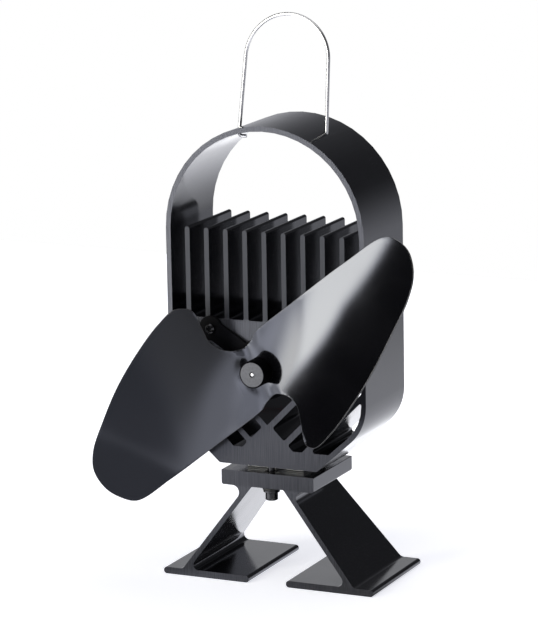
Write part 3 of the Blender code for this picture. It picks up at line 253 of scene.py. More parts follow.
# %% [markdown]
# ### Cut ends
#
# A turned or pressed piece on the fan's axis often has one finish on its end face and another
# round its side. The object's own normal tells them apart: the ends face along Y. Dotting the
# normal with Y gives a mask that fades over a rounded edge.

# %% Build the cut ends group
ENDS, ends_in, ends_out = new_group("cut_ends", [("Vector", "Normal", (0, 0, 1))], ["Ends"])
along = vector_math(ENDS, "DOT_PRODUCT", ends_in.outputs["Normal"], (0, 1, 0))
facing = value_math(ENDS, "ABSOLUTE", along.outputs["Value"])
ENDS.links.new(spread_value(ENDS, facing, 0.90, 0.99, smooth=True), ends_out.inputs["Ends"])
print("group", ENDS.name)

# %% [markdown]
# ## Materials
#
# Every material starts from the same few nodes: a Principled shader, the object's coordinates
# and a Bump node. What differs is how the groups are stretched and what they drive.


# %% Helpers for materials
class Finish:
    """A material being built: its tree, its shader and the object's coordinates and normal."""

    def __init__(self, name, ior=None, metallic=0.0):
        self.material = bpy.data.materials.new(name)
        self.material.use_nodes = True
        self.tree = self.material.node_tree
        self.shader = self.tree.nodes["Principled BSDF"]
        self.shader.inputs["Metallic"].default_value = metallic
        if ior:
            self.shader.inputs["IOR"].default_value = ior
        places = self.tree.nodes.new("ShaderNodeTexCoord")
        self.coordinates = places.outputs["Object"]
        self.normal = places.outputs["Normal"]

    def group(self, group, **values):
        """Place a shared group, link its coordinates and normal, and set the other inputs."""
        node = self.tree.nodes.new("ShaderNodeGroup")
        node.node_tree = group
        node.label = group.name
        if "Coordinates" in node.inputs:
            self.tree.links.new(self.coordinates, node.inputs["Coordinates"])
        if "Normal" in node.inputs:
            self.tree.links.new(self.normal, node.inputs["Normal"])
        for label, value in values.items():
            node.inputs[label.replace("_", " ")].default_value = value
        return node.outputs[0]

    def drive(self, socket, value):
        """Let a value set one of the shader's inputs."""
        self.tree.links.new(value, self.shader.inputs[socket])

    def colour(self, value, dark, light, socket="Base Color"):
        """Let a value from 0 to 1 choose the colour between two."""
        self.drive(socket, mix_colours(self.tree, value, (*dark, 1), (*light, 1)))

    def add_up(self, value, share, rest):
        """A share of one value added to another."""
        return value_math(self.tree, "MULTIPLY_ADD", value, share, rest)

    def bump(self, height, distance):
        """A Bump node at full strength. The distance is how deep a height of 1 is, in metres."""
        node = self.tree.nodes.new("ShaderNodeBump")
        node.inputs["Distance"].default_value = distance
        node.inputs["Strength"].default_value = 1.0
        self.tree.links.new(height, node.inputs["Height"])
        self.tree.links.new(node.outputs["Normal"], self.shader.inputs["Normal"])


FINISHES = {}


def keep(slot, finish):
    """Remember a finished material under its slot."""
    FINISHES[slot] = finish.material
    print("material", finish.material.name)


# %% [markdown]
# ### Black anodised extrusion
#
# The heat sink and the stand are dyed and anodised aluminium. The oxide is a clear, hard,
# high-index layer over a near-black dye, so the long sides mirror the studio like dark glass,
# far more at a grazing angle. A dielectric shader with a high index gives that, and a weak tint
# makes what it mirrors a little bluer. The die's faint lines run along Y: they change the gloss
# and hardly the shape, because a die leaves no grooves that a finger would feel.

# %% Make the finish of the extruded sides
OXIDE_IOR = 1.75
OXIDE_TINT = (0.84, 0.875, 1.0, 1)
BLACK_DYE = (0.0030, 0.0030, 0.0042)
FADED_DYE = (0.0062, 0.0062, 0.0082)
SIDE_ROUGHNESS = 0.10
sides = Finish("black_anodised_aluminium", ior=OXIDE_IOR)
sides.shader.inputs["Specular Tint"].default_value = OXIDE_TINT
die_lines = sides.group(LINES, Lines_per_metre=(900, 16, 900), Detail=3.0)
side_grain = sides.group(LINES, Lines_per_metre=(3600, 3600, 3600), Detail=2.0)
side_marks = sides.group(MARKS, Marks_per_metre=38.0)
side_gloss = sides.add_up(side_marks, 0.05, SIDE_ROUGHNESS)
sides.drive("Roughness", sides.add_up(die_lines, 0.03, side_gloss))
sides.colour(spread_value(sides.tree, die_lines, 0.35, 0.70), BLACK_DYE, FADED_DYE)
sides.bump(side_grain, 0.0005 * MM)
keep("black_anodised", sides)

# %% [markdown]
# ### Sawn ends
#
# The saw leaves the two ends of an extrusion with fine upright lines, and the oxide there is
# thinner, so an end mirrors less and shows a dark grey of its own. The ends are the faces that
# look along Y. They get a second material on the same piece, which keeps their border crisp.
#
# The grey isn't the same all over, and part of it is painted light and shade. The ring is
# palest: painted light. The foot, ribs and crossbar are darker, in the plain grey of the ends.
# The fins are darkest: painted shade from the blade in front of them. They are also the
# roughest. The place on the piece tells them apart: the fins stand above the crossbar, end
# below their tips and keep inside the ring. Above the bar, all the rest is ring.

# %% Make the finish of the sawn ends
BAR_TOP = SINK_LOW.z + 81.0 * MM
RING_CENTRE = SINK_HIGH.z - SINK_HIGH.x
FIN_TIPS = RING_CENTRE + 1.45 * MM
FIN_REACH = 48.0 * MM
FADE = 1 * MM
FOOT_PALENESS = 0.44
RING_PAINTED_LIGHT = 0.50
STREAK_SHARE = 0.75
SAWN_DARK = (0.008, 0.008, 0.010)
SAWN_PALE = (0.125, 0.127, 0.148)
SAWN_ROUGHNESS = 0.15
FIN_ROUGHNESS = 0.22
sawn = Finish("sawn_anodised_ends", ior=1.45)
sawn.shader.inputs["Specular Tint"].default_value = OXIDE_TINT
saw_lines = sawn.group(LINES, Lines_per_metre=(2600, 2600, 60), Detail=4.0)
saw_streaks = spread_value(sawn.tree, saw_lines, 0.30, 0.70)
across_sink, _, height = separate(sawn.tree, sawn.coordinates)
above_bar = spread_value(sawn.tree, height, BAR_TOP - FADE, BAR_TOP + FADE)
below_tips = spread_value(sawn.tree, height, FIN_TIPS + FADE, FIN_TIPS + 2 * FADE, 1, 0)
off_middle = value_math(sawn.tree, "ABSOLUTE", across_sink)
inside_ring = spread_value(sawn.tree, off_middle, FIN_REACH, FIN_REACH + FADE, 1, 0)
fin_heights = value_math(sawn.tree, "MULTIPLY", above_bar, below_tips)
on_fins = value_math(sawn.tree, "MULTIPLY", fin_heights, inside_ring)
on_ring = value_math(sawn.tree, "SUBTRACT", above_bar, on_fins)
# Painted light and shade: the ring is made paler and the fins darker than the plain grey.
paleness_and_painted_shading = sawn.add_up(on_ring, RING_PAINTED_LIGHT, FOOT_PALENESS)
paleness_and_painted_shading = sawn.add_up(on_fins, -FOOT_PALENESS, paleness_and_painted_shading)
streaks = sawn.add_up(saw_streaks, STREAK_SHARE, 1 - STREAK_SHARE)
sawn.colour(value_math(sawn.tree, "MULTIPLY", streaks, paleness_and_painted_shading), SAWN_DARK, SAWN_PALE)
sawn_gloss = sawn.add_up(saw_streaks, 0.10, SAWN_ROUGHNESS)
sawn.drive("Roughness", sawn.add_up(on_fins, FIN_ROUGHNESS, sawn_gloss))
sawn.bump(saw_lines, 0.018 * MM)
SAWN_ENDS = sawn.material
print("material", SAWN_ENDS.name)

# %% [markdown]
# ### Blade black
#
# The blade is a thin sheet with the same dye and a satin gloss. A photograph of it lives from
# one soft light sliding over its twist, so it needs a very even surface: only weak cloudy
# marks and a shallow grain of about a quarter of a millimetre.

# %% Make the blade's finish
BLADE_ROUGHNESS = 0.09
blade_black = Finish("blade_black_satin", ior=OXIDE_IOR)
blade_black.shader.inputs["Specular Tint"].default_value = OXIDE_TINT
blade_grain = blade_black.group(LINES, Lines_per_metre=(4200, 4200, 4200), Detail=2.0)
blade_marks = blade_black.group(MARKS, Marks_per_metre=28.0)
blade_gloss = blade_black.add_up(blade_marks, 0.03, BLADE_ROUGHNESS)
blade_black.drive("Roughness", blade_black.add_up(blade_grain, 0.02, blade_gloss))
blade_black.colour(blade_marks, (0.0022, 0.0022, 0.0030), (0.0032, 0.0032, 0.0042))
blade_black.bump(blade_grain, 0.004 * MM)
keep("blade_black", blade_black)

# %% [markdown]
# ### Turned grey hub
#
# The hub is black round its side, and its face is turned back to a satin grey with a grain and
# fine rings round the shaft. The mask of the ends tells the two apart. The cut stops short of
# the edge and leaves a narrow black rim of the side's dye. The rim is a rough metal with almost
# no colour, so it mirrors next to nothing: painted shade, standing in for the dark room that the
# rounded edge mirrors. Rings come from the distance to the axis: the same grain group is fed
# that distance instead of a place.

# %% Make the hub's finish
RIM_WIDTH = 0.85 * MM
RIM_FADE = 0.20 * MM
FACE_METAL = 0.6
HUB_ROUGHNESS = 0.24
RIM_ROUGHNESS = 0.45
hub_grey = Finish("turned_grey_aluminium", ior=1.6)
hub_tree = hub_grey.tree
on_end = hub_grey.group(ENDS)
hub_grain = hub_grey.group(LINES, Lines_per_metre=(1100, 1100, 1100), Detail=4.0)
from_axis = vector_math(hub_tree, "SUBTRACT", hub_grey.coordinates, (0, 0, AXIS_Z))
across_axis = vector_math(hub_tree, "MULTIPLY", from_axis.outputs[0], (1, 0, 1))
to_axis = vector_math(hub_tree, "LENGTH", across_axis.outputs[0], (0, 0, 0)).outputs["Value"]
ring_place = hub_tree.nodes.new("ShaderNodeCombineXYZ")
hub_tree.links.new(to_axis, ring_place.inputs["X"])
hub_grey.coordinates = ring_place.outputs[0]
rings = hub_grey.group(LINES, Lines_per_metre=(3200, 1, 1), Detail=3.0)
# Painted shade: the rim is a near-black metal that mirrors next to nothing.
rim_start = HUB_RADIUS - RIM_WIDTH
painted_dark_rim = spread_value(hub_tree, to_axis, rim_start, rim_start + RIM_FADE)
off_rim = value_math(hub_tree, "SUBTRACT", 1.0, painted_dark_rim)
on_face = value_math(hub_tree, "MULTIPLY", on_end, off_rim)
hub_grey.drive("Metallic", hub_grey.add_up(on_face, FACE_METAL, painted_dark_rim))
hub_gloss = hub_grey.add_up(rings, 0.16, HUB_ROUGHNESS)
hub_grey.drive("Roughness", hub_grey.add_up(painted_dark_rim, RIM_ROUGHNESS, hub_gloss))
turned = value_math(hub_tree, "MULTIPLY", on_face, hub_grey.add_up(hub_grain, 1.3, 0.22))
hub_grey.colour(turned, (0.004, 0.004, 0.005), (0.072, 0.074, 0.083))
hub_grey.bump(rings, 0.01 * MM)
keep("hub_grey", hub_grey)

# %% [markdown]
# ### Plain metals
#
# Steel, copper, bronze and brass differ in colour and in how they were worked. One function
# makes them all: drawn wire has long scratches, a pressed can faint ones, and sintered bronze
# an even grain. The screws are plated dark, and the blade's cut edge shows metal that the dye
# has darkened.


# %% Make the plain metals
def make_metal(slot, name, dark, light, roughness, stretch, marks_scale, bump_depth):
    """A bare or plated metal: two near colours, and a gloss that scratches and handling change."""
    finish = Finish(name, metallic=1.0)
    scratches = finish.group(LINES, Lines_per_metre=stretch, Detail=3.0)
    marks = finish.group(MARKS, Marks_per_metre=marks_scale)
    finish.colour(marks, dark, light)
    gloss = finish.add_up(marks, 0.06, roughness)
    finish.drive("Roughness", finish.add_up(scratches, 0.08, gloss))
    finish.bump(scratches, bump_depth)
    keep(slot, finish)


make_metal("polished_steel", "polished_steel", (0.70, 0.70, 0.72), (0.82, 0.82, 0.83), 0.26,
           (900, 900, 60), 60.0, 0.004 * MM)
make_metal("zinc_steel", "black_zinc_plated_steel", (0.05, 0.05, 0.054), (0.10, 0.10, 0.105), 0.20,
           (900, 900, 900), 160.0, 0.006 * MM)
make_metal("can_steel", "nickel_plated_can", (0.50, 0.50, 0.49), (0.60, 0.60, 0.59), 0.24,
           (1500, 40, 1500), 80.0, 0.006 * MM)
make_metal("core_steel", "laminated_steel", (0.20, 0.20, 0.21), (0.32, 0.32, 0.33), 0.40,
           (60, 2600, 60), 90.0, 0.02 * MM)
make_metal("copper", "enamelled_copper", (0.55, 0.20, 0.09), (0.74, 0.32, 0.16), 0.28,
           (60, 2400, 60), 90.0, 0.05 * MM)
make_metal("bronze", "sintered_bronze", (0.36, 0.22, 0.11), (0.50, 0.33, 0.17), 0.42,
           (2400, 2400, 2400), 90.0, 0.02 * MM)
make_metal("bare_cut_edge", "bare_cut_edge", (0.08, 0.08, 0.083), (0.12, 0.12, 0.125), 0.24,
           (1800, 1800, 1800), 200.0, 0.01 * MM)
make_metal("brass", "stamped_brass", (0.66, 0.49, 0.20), (0.80, 0.62, 0.30), 0.22,
           (900, 40, 900), 90.0, 0.006 * MM)


# %% [markdown]
# ### Painted, moulded and fired pieces
#
# The rest isn't bare metal: blackened steel, plastic, silicone sleeves, ceramic, ferrite. They
# share one recipe with an even grain, from the smooth sleeve of a lead to porous ferrite. Each
# row of the table gives two near colours, the roughness, the grains per metre and their depth.
# Two pieces differ further: blackened steel mirrors less, and the pellets are mostly metal.
# The blackened steel's near-black colour and low index are partly painted shade, for the
# bracket lies in the blade's shade.

# %% Make the other finishes
MATT_FINISHES = {
    "black_steel": ("blackened_steel", (0.004, 0.004, 0.005), (0.007, 0.007, 0.009),
                    0.60, 2600, 0.010 * MM),
    "ferrite": ("sintered_ferrite", (0.020, 0.020, 0.021), (0.035, 0.034, 0.034),
                0.62, 3200, 0.030 * MM),
    "carbon": ("pressed_carbon", (0.015, 0.015, 0.016), (0.030, 0.030, 0.031),
               0.55, 3600, 0.020 * MM),
    "white_ceramic": ("fired_ceramic", (0.78, 0.78, 0.76), (0.86, 0.86, 0.85),
                      0.42, 2400, 0.008 * MM),
    "pellet_grey": ("pellet_alloy", (0.20, 0.20, 0.22), (0.30, 0.30, 0.32),
                    0.42, 1800, 0.020 * MM),
    "white_silicone": ("white_silicone_seal", (0.74, 0.74, 0.72), (0.82, 0.82, 0.80),
                       0.50, 1200, 0.020 * MM),
    "black_plastic": ("moulded_black_plastic", (0.014, 0.014, 0.015), (0.022, 0.022, 0.024),
                      0.42, 2200, 0.015 * MM),
    "red_sleeve": ("red_silicone_sleeve", (0.36, 0.016, 0.014), (0.46, 0.028, 0.022),
                   0.36, 1600, 0.010 * MM),
    "black_sleeve": ("black_silicone_sleeve", (0.012, 0.012, 0.013), (0.020, 0.020, 0.021),
                     0.36, 1600, 0.010 * MM),
}
# Painted shade in part: this low index keeps the shaded bracket from mirroring the room.
SHADE_DIMMED_IOR = {"black_steel": 1.15}
HALF_METAL = {"pellet_grey": 0.7}
PLAIN_IOR = 1.5
for slot, (name, dark, light, roughness, per_metre, bump_depth) in MATT_FINISHES.items():
    finish = Finish(name, ior=SHADE_DIMMED_IOR.get(slot, PLAIN_IOR), metallic=HALF_METAL.get(slot, 0.0))
    grain = finish.group(LINES, Lines_per_metre=(per_metre, per_metre, per_metre), Detail=3.0)
    marks = finish.group(MARKS, Marks_per_metre=70.0)
    finish.colour(marks, dark, light)
    gloss = finish.add_up(marks, 0.08, roughness)
    finish.drive("Roughness", finish.add_up(grain, 0.08, gloss))
    finish.bump(grain, bump_depth)
    keep(slot, finish)

# %% [markdown]
# ## Pieces with broken edges
#
# No real edge is perfectly sharp: a deburred edge is a round of a tenth or two of a millimetre,
# and it is what catches a thin line of light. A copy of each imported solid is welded, its flat
# faces are merged, and its sharp edges are bevelled. Curved runs are left to smooth shading.
# Weighted normals then keep the flats flat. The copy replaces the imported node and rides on
# the same body.

# %% A helper that breaks a solid's edges
def add_piece(name, mesh, body, slot, *nodes):
    """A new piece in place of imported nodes, with the finish of its slot, riding on its body."""
    piece = bpy.data.objects.new(name, mesh)
    bpy.context.scene.collection.objects.link(piece)
    piece.data.materials.clear()
    piece.data.materials.append(FINISHES[slot])
    bpy.context.view_layer.update()
    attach(piece, body)
    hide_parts(*nodes)
    return piece


WELD = 0.001 * MM
FLAT_ANGLE = math.radians(0.5)
CURVE_ANGLE = math.radians(38)
HARD_ANGLE = math.radians(60)
END_FACING = 0.9


def smooth_where_curved(mesh):
    """Smooth shading, with a hard line only where two faces meet at more than the hard angle."""
    mesh.shade_smooth()
    mesh.set_sharp_from_angle(angle=HARD_ANGLE)


def keep_flats_flat(piece):
    """Let the large faces decide the shading at their rounded edges."""
    normals = piece.modifiers.new("flat_faces_stay_flat", "WEIGHTED_NORMAL")
    normals.keep_sharp = True


def broken_edges(node, name, body, slot, edge_round, ends=None):
    """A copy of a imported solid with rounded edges. Its ends along Y may have their own finish."""
    shape = bmesh.new()
    shape.from_mesh(frame["nodes"][node].data)
    bmesh.ops.remove_doubles(shape, verts=shape.verts, dist=WELD)
    bmesh.ops.dissolve_limit(shape, angle_limit=FLAT_ANGLE, verts=shape.verts, edges=shape.edges)
    mesh = bpy.data.meshes.new(name)
    shape.to_mesh(mesh)
    shape.free()
    piece = add_piece(name, mesh, body, slot, node)
    if ends:
        mesh.materials.append(ends)
        for face in mesh.polygons:
            face.material_index = int(abs(face.normal.y) > END_FACING)
    bevel = piece.modifiers.new("broken_edges", "BEVEL")
    bevel.width = edge_round
    bevel.segments = 2
    bevel.limit_method = "ANGLE"
    bevel.angle_limit = CURVE_ANGLE
    bevel.miter_outer = "MITER_ARC"
    bevel.use_clamp_overlap = True
    smooth_where_curved(mesh)
    keep_flats_flat(piece)
    print(name, len(mesh.polygons), "faces before its edges are broken")


# %% Break the edges of the two extrusions
broken_edges("heat_sink", "sink_extrusion", "frame", "black_anodised", 0.18 * MM, SAWN_ENDS)
broken_edges("base_stand", "stand_extrusion", "frame", "black_anodised", 0.22 * MM, SAWN_ENDS)

# %% [markdown]
# The small hardware gets the same treatment from one table: bracket, screws, washers, bushes,
# the motor's case, the module and the turned parts on the shaft. Each row ends with the round
# of the edges in millimetres.

# %% Break the edges of the small hardware
HARDWARE = [
    ("motor_bracket", "bracket_plate", "frame", "black_steel", 0.25),
    ("motor_can", "motor_case", "frame", "can_steel", 0.20),
    ("motor_end_cap", "motor_rear_cap", "frame", "black_plastic", 0.15),
    ("motor_terminal_left", "terminal_tab_left", "frame", "brass", 0.06),
    ("motor_terminal_right", "terminal_tab_right", "frame", "brass", 0.06),
    ("module_hot_plate", "ceramic_plate_hot", "frame", "white_ceramic", 0.06),
    ("module_cold_plate", "ceramic_plate_cold", "frame", "white_ceramic", 0.06),
    ("module_seal", "module_seal_frame", "frame", "white_silicone", 0.15),
    ("hub", "turned_hub", "rotor", "hub_grey", 0.08),
    ("hub_collar", "hub_back_collar", "rotor", "hub_grey", 0.20),
    ("hub_grub_screw", "grub_screw", "rotor", "black_steel", 0.06),
    ("motor_shaft", "ground_shaft", "rotor", "polished_steel", 0.40),
]
for end in ("front", "rear"):
    HARDWARE.append((f"clamp_screw_{end}", f"socket_screw_{end}", "frame", "zinc_steel", 0.12))
    HARDWARE.append((f"clamp_washer_{end}", f"plate_washer_{end}", "frame", "zinc_steel", 0.10))
    HARDWARE.append((f"clamp_bush_{end}", f"insulating_bush_{end}", "frame", "black_plastic", 0.10))
for side in ("left", "right"):
    HARDWARE.append((f"bracket_screw_{side}", f"lug_screw_{side}", "frame", "zinc_steel", 0.10))
    HARDWARE.append((f"motor_screw_{side}", f"face_screw_{side}", "frame", "zinc_steel", 0.08))
for node, name, body, slot, round_mm in HARDWARE:
    broken_edges(node, name, body, slot, round_mm * MM)

# %% [markdown]
# ## The blade
#
# The blade is one pressed sheet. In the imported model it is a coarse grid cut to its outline.
# Here the same pitch lines are read at many more places: how far the sheet stands forward is a
# parabola across the blade, which changes from the hub to each tip. The parabola is blended in
# from the flat line across the hub. The blend is short along the blade's middle line and longer
# near its two long edges, which leaves no crease, and a small seat under the hub stays flat.
# The outline is a smooth curve through one lobe's points and their half-turn copies. Places
# and depths from the outline to the strips are shares of the blade's radius. A constrained
# triangulation fills the outline and every vertex is lifted by the formula.

# %% The blade's formula
BLADE_RADIUS = 0.1170
BLADE_THICKNESS = 0.0009
BLADE_TURN = math.radians(25.5)
BLADE_PLANE = JOINTS["rotor_spin"]["pos_m"][1]
HUB_HOLE = 0.0043
LOBE_OUTLINE = (
    (0.057, -0.168), (0.337, -0.235), (0.648, -0.303), (0.873, -0.336), (0.938, -0.291),
    (0.974, -0.226), (0.968, -0.127), (0.908, -0.036), (0.782, 0.073), (0.622, 0.197),
    (0.448, 0.306), (0.292, 0.385), (0.186, 0.416), (0.129, 0.381), (0.134, 0.297),
    (0.140, 0.212), (0.102, 0.153), (0.030, 0.127), (-0.039, 0.153),
)
PITCH_LINES = (-0.342, 0.000, 0.427)
HUB_PITCH = (0.056, 0.000, 0.110)
TIP_PITCH = (0.010, 0.174, 0.395)
BLEND_IN_MIDDLE = 0.060
BLEND_AT_EDGES = 0.145
MIDDLE_STRIP = 0.06
EDGE_STRIP = 0.32
SEAT_RADIUS = 5.0 * MM
SEAT_END = 14.0 * MM


def parabola(row, across):
    """The parabola through one row of pitch values, read at a place across the blade."""
    total = 0
    for line, depth in zip(PITCH_LINES, row):
        weight = 1
        for other in PITCH_LINES:
            if other != line:
                weight *= (across - other) / (line - other)
        total += weight * depth
    return total


def ease(value, low, high):
    """A soft step from 0 to 1 between two values."""
    share = min(max((value - low) / (high - low), 0), 1)
    return share * share * (3 - 2 * share)


def sheet_depth(along, across):
    """How far the sheet stands in front of the hub's plane."""
    side = 1 if along >= 0 else -1
    share = abs(along) / BLADE_RADIUS
    edgeward = ease(abs(across) / BLADE_RADIUS, MIDDLE_STRIP, EDGE_STRIP)
    blend = ease(share, 0, BLEND_IN_MIDDLE + (BLEND_AT_EDGES - BLEND_IN_MIDDLE) * edgeward)
    off_seat = ease(math.hypot(along, across), SEAT_RADIUS, SEAT_END)
    across_share = across * side / BLADE_RADIUS
    hub_depth = parabola(HUB_PITCH, across_share)
    tip_depth = parabola(TIP_PITCH, across_share)
    return BLADE_RADIUS * blend * off_seat * (hub_depth + (tip_depth - hub_depth) * share)


def smooth_loop(points, steps):
    """A closed curve through the points, whose bends follow the spacing of the points."""
    points = [Vector(point) for point in points]
    count = len(points)
    curve = []
    for index in range(count):
        before, start = points[index - 1], points[index]
        end, after = points[(index + 1) % count], points[(index + 2) % count]
        gap_before, gap, gap_after = (math.sqrt((second - first).length) for first, second in
                                      ((before, start), (start, end), (end, after)))
        leave = end - start + gap * ((start - before) / gap_before
                                     - (end - before) / (gap_before + gap))
        arrive = end - start + gap * ((after - end) / gap_after
                                      - (after - start) / (gap + gap_after))
        for step in range(steps):
            t = step / steps
            curve.append((2 * t**3 - 3 * t**2 + 1) * start + (t**3 - 2 * t**2 + t) * leave
                         + (3 * t**2 - 2 * t**3) * end + (t**3 - t**2) * arrive)
    return curve


# %% Fill the blade's outline
OUTLINE_STEPS = 10
GRID_STEP = 2.0 * MM
RIM_ROOM = 0.55 * GRID_STEP
HOLE_SIDES = 48
SAME_POINT = 1e-7


def inside(point, loop):
    """Whether a point is inside a closed loop, by counting the edges to its right."""
    found = False
    for first, second in zip(loop, loop[1:] + loop[:1]):
        if (first.y > point.y) != (second.y > point.y):
            crossing = first.x + (point.y - first.y) * (second.x - first.x) / (second.y - first.y)
            if point.x < crossing:
                found = not found
    return found


lobe = [(along * BLADE_RADIUS, across * BLADE_RADIUS) for along, across in LOBE_OUTLINE]
outline = smooth_loop(lobe + [(-x, -y) for x, y in lobe], OUTLINE_STEPS)
hole_angles = [2 * math.pi * index / HOLE_SIDES for index in range(HOLE_SIDES)]
hole = [Vector((HUB_HOLE * math.cos(angle), HUB_HOLE * math.sin(angle))) for angle in hole_angles]


def rim_clearance(point):
    """How far a point lies from the outline and the hub's hole."""
    return min((point - rim).length for rim in outline + hole)


grid_count = int(BLADE_RADIUS / GRID_STEP) + 1
filling = []
for row in range(-grid_count, grid_count + 1):
    for column in range(-grid_count, grid_count + 1):
        spot = Vector((column * GRID_STEP, row * GRID_STEP))
        if inside(spot, outline) and spot.length > HUB_HOLE and rim_clearance(spot) > RIM_ROOM:
            filling.append(spot)
rim_count = len(outline)
rim_edges = [(index, (index + 1) % rim_count) for index in range(rim_count)]
hole_edges = [(rim_count + index, rim_count + (index + 1) % HOLE_SIDES)
              for index in range(HOLE_SIDES)]
flat_points, _, flat_faces, *_ = delaunay_2d_cdt(
    outline + hole + filling, rim_edges + hole_edges, [], 0, SAME_POINT)
kept_faces = []
for face in flat_faces:
    middle = sum((flat_points[index] for index in face), Vector((0, 0))) / len(face)
    if middle.length > HUB_HOLE * math.cos(math.pi / HOLE_SIDES) and inside(middle, outline):
        kept_faces.append(face)
print("blade:", len(flat_points), "points,", len(kept_faces), "triangles on its face")

# %% [markdown]
# The triangles lie in the hub's plane. Lifted and turned to the angle of the photograph they
# become the blade's face. A Solidify modifier adds the sheet's thickness behind the face, and
# a fine bevel rounds the rim. The rim has a finish of its own, which catches the thin light
# line along the edge.

# %% Build the blade
RIM_ROUND = 0.26 * MM
RIM_ANGLE = math.radians(50)
CUT_EDGE_SLOT = 1
axle = Matrix.Translation((0, BLADE_PLANE, AXIS_Z)) @ Matrix.Rotation(-BLADE_TURN, 4, "Y")
blade_shape = bmesh.new()
lifted = [blade_shape.verts.new(axle @ Vector((spot.x, -sheet_depth(spot.x, spot.y), -spot.y)))
          for spot in flat_points]
for face in kept_faces:
    blade_shape.faces.new([lifted[index] for index in face])
loose = [vertex for vertex in blade_shape.verts if not vertex.link_faces]
bmesh.ops.delete(blade_shape, geom=loose, context="VERTS")
bmesh.ops.recalc_face_normals(blade_shape, faces=blade_shape.faces)
blade_shape.faces.ensure_lookup_table()
if blade_shape.faces[0].normal.y > 0:
    bmesh.ops.reverse_faces(blade_shape, faces=blade_shape.faces)
blade_mesh = bpy.data.meshes.new("pressed_blade")
blade_shape.to_mesh(blade_mesh)
blade_shape.free()
blade = add_piece("pressed_blade", blade_mesh, "rotor", "blade_black", "fan_blade")
blade_mesh.materials.append(FINISHES["bare_cut_edge"])
sheet = blade.modifiers.new("sheet_thickness", "SOLIDIFY")
sheet.thickness = BLADE_THICKNESS
sheet.offset = -1
sheet.material_offset_rim = CUT_EDGE_SLOT
rim = blade.modifiers.new("rounded_rim", "BEVEL")
rim.width = RIM_ROUND
rim.material = CUT_EDGE_SLOT
rim.segments = 3
rim.limit_method = "ANGLE"
rim.angle_limit = RIM_ANGLE
smooth_where_curved(blade_mesh)
keep_flats_flat(blade)
print("blade from", [round(value, 4) for value in blade_mesh.vertices[0].co])

# %% [markdown]
# ## The wire handle
#
# The handle is one polished wire: a hook under each hole, a leg, and a half-round top. A wire
# is a curve with a round bevel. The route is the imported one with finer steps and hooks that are
# about two millimetres shorter. It is drawn upright and then leaned back on the pivot between
# the holes.

# %% Bend the handle
WIRE_RADIUS = 1.0 * MM
HANDLE_SPREAD = 51.9 * MM
HANDLE_TOP_RADIUS = 24.6 * MM
HANDLE_HEIGHT = 63.9 * MM
HANDLE_LEAN = math.radians(9.9)
HOOK_LENGTH = 4.4 * MM
HOOK_BEND = 2.0 * MM
HANDLE_PIVOT = Vector(JOINTS["handle_swing"]["pos_m"])
RING_RADIUS = SINK_HIGH.x
RING_WALL = 2.8 * MM
SEAT_GAP = 0.3 * MM
HOOK_STEPS = 8
TOP_STEPS = 48


def bend_points(centre, radius, start, end, count):
    """Points along part of a circle, from one angle to another."""
    angles = [start + (end - start) * index / count for index in range(count + 1)]
    return [(centre[0] + radius * math.cos(angle), centre[1] + radius * math.sin(angle))
            for angle in angles]


half_spread = HANDLE_SPREAD / 2
wall_lean = math.sqrt(1 - (half_spread / RING_RADIUS) ** 2)
hook_drop = RING_WALL / wall_lean / 2 + WIRE_RADIUS + 2 * SEAT_GAP
hook_centre = (half_spread - HOOK_BEND, HOOK_BEND - hook_drop)
hook = [(half_spread - HOOK_LENGTH, -hook_drop)]
hook += bend_points(hook_centre, HOOK_BEND, -math.pi / 2, 0, HOOK_STEPS)
top_centre = (0, HANDLE_HEIGHT - HANDLE_TOP_RADIUS)
top = bend_points(top_centre, HANDLE_TOP_RADIUS, 0, math.pi, TOP_STEPS)
route = hook + top + [(-x, z) for x, z in reversed(hook)]
wire = bpy.data.curves.new("bent_wire_handle", "CURVE")
wire.dimensions = "3D"
wire.bevel_depth = WIRE_RADIUS
wire.bevel_resolution = 5
wire.use_fill_caps = True
spline = wire.splines.new("POLY")
spline.points.add(len(route) - 1)
lean_back = Matrix.Translation(HANDLE_PIVOT) @ Matrix.Rotation(-HANDLE_LEAN, 4, "X")
for spot, (x, z) in zip(spline.points, route):
    spot.co = (*(lean_back @ Vector((x, 0, z))), 1)
spline.use_smooth = True
add_piece("bent_wire_handle", wire, "handle", "polished_steel", "wire_handle")
wire_top = max(spot.co.z for spot in spline.points)
print("handle wire:", len(route), "points, top at", round(wire_top, 4))

# %% [markdown]
# ## Finishes for the pieces that stay
#
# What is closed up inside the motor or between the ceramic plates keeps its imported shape, and
# only gets its finish. So do the two leads, which are drawn as smooth tubes already.

# %% Give the remaining nodes their finishes
STAYING = {
    "module_pellets": "pellet_grey", "front_bearing": "bronze", "rear_bearing": "bronze",
    "motor_magnet_left": "ferrite", "motor_magnet_right": "ferrite",
    "armature_core": "core_steel", "armature_winding_1": "copper",
    "armature_winding_2": "copper", "armature_winding_3": "copper",
    "commutator": "copper", "brush_left": "carbon", "brush_right": "carbon",
    "lead_red": "red_sleeve", "lead_black": "black_sleeve",
}
for node, slot in STAYING.items():
    packed = frame["nodes"][node]
    packed.data.materials.clear()
    packed.data.materials.append(FINISHES[slot])
print("nodes that stay:", len(STAYING))

# %% [markdown]
# ## The table
#
# The fan stands on a matt white table whose far side is washed out to white. Only the table's
# colour and its contact shadow matter to the camera. Glossy metal needs more, because every face
# of the fan mirrors the table. In the picture the mirrored table is palest behind and to the
# left, warm and very bright at the far left where the large lamp's light spills on it, and dim
# in the fan's own shade just in front. It is dimmest close to the feet, where the left lobe
# mirrors it. So the table glows for camera rays up to white, and for glossy and transparent rays
# by a smooth map over its own surface, with a darker tone under the lobe. Diffuse rays see no
# glow, so it lights no matt surface.

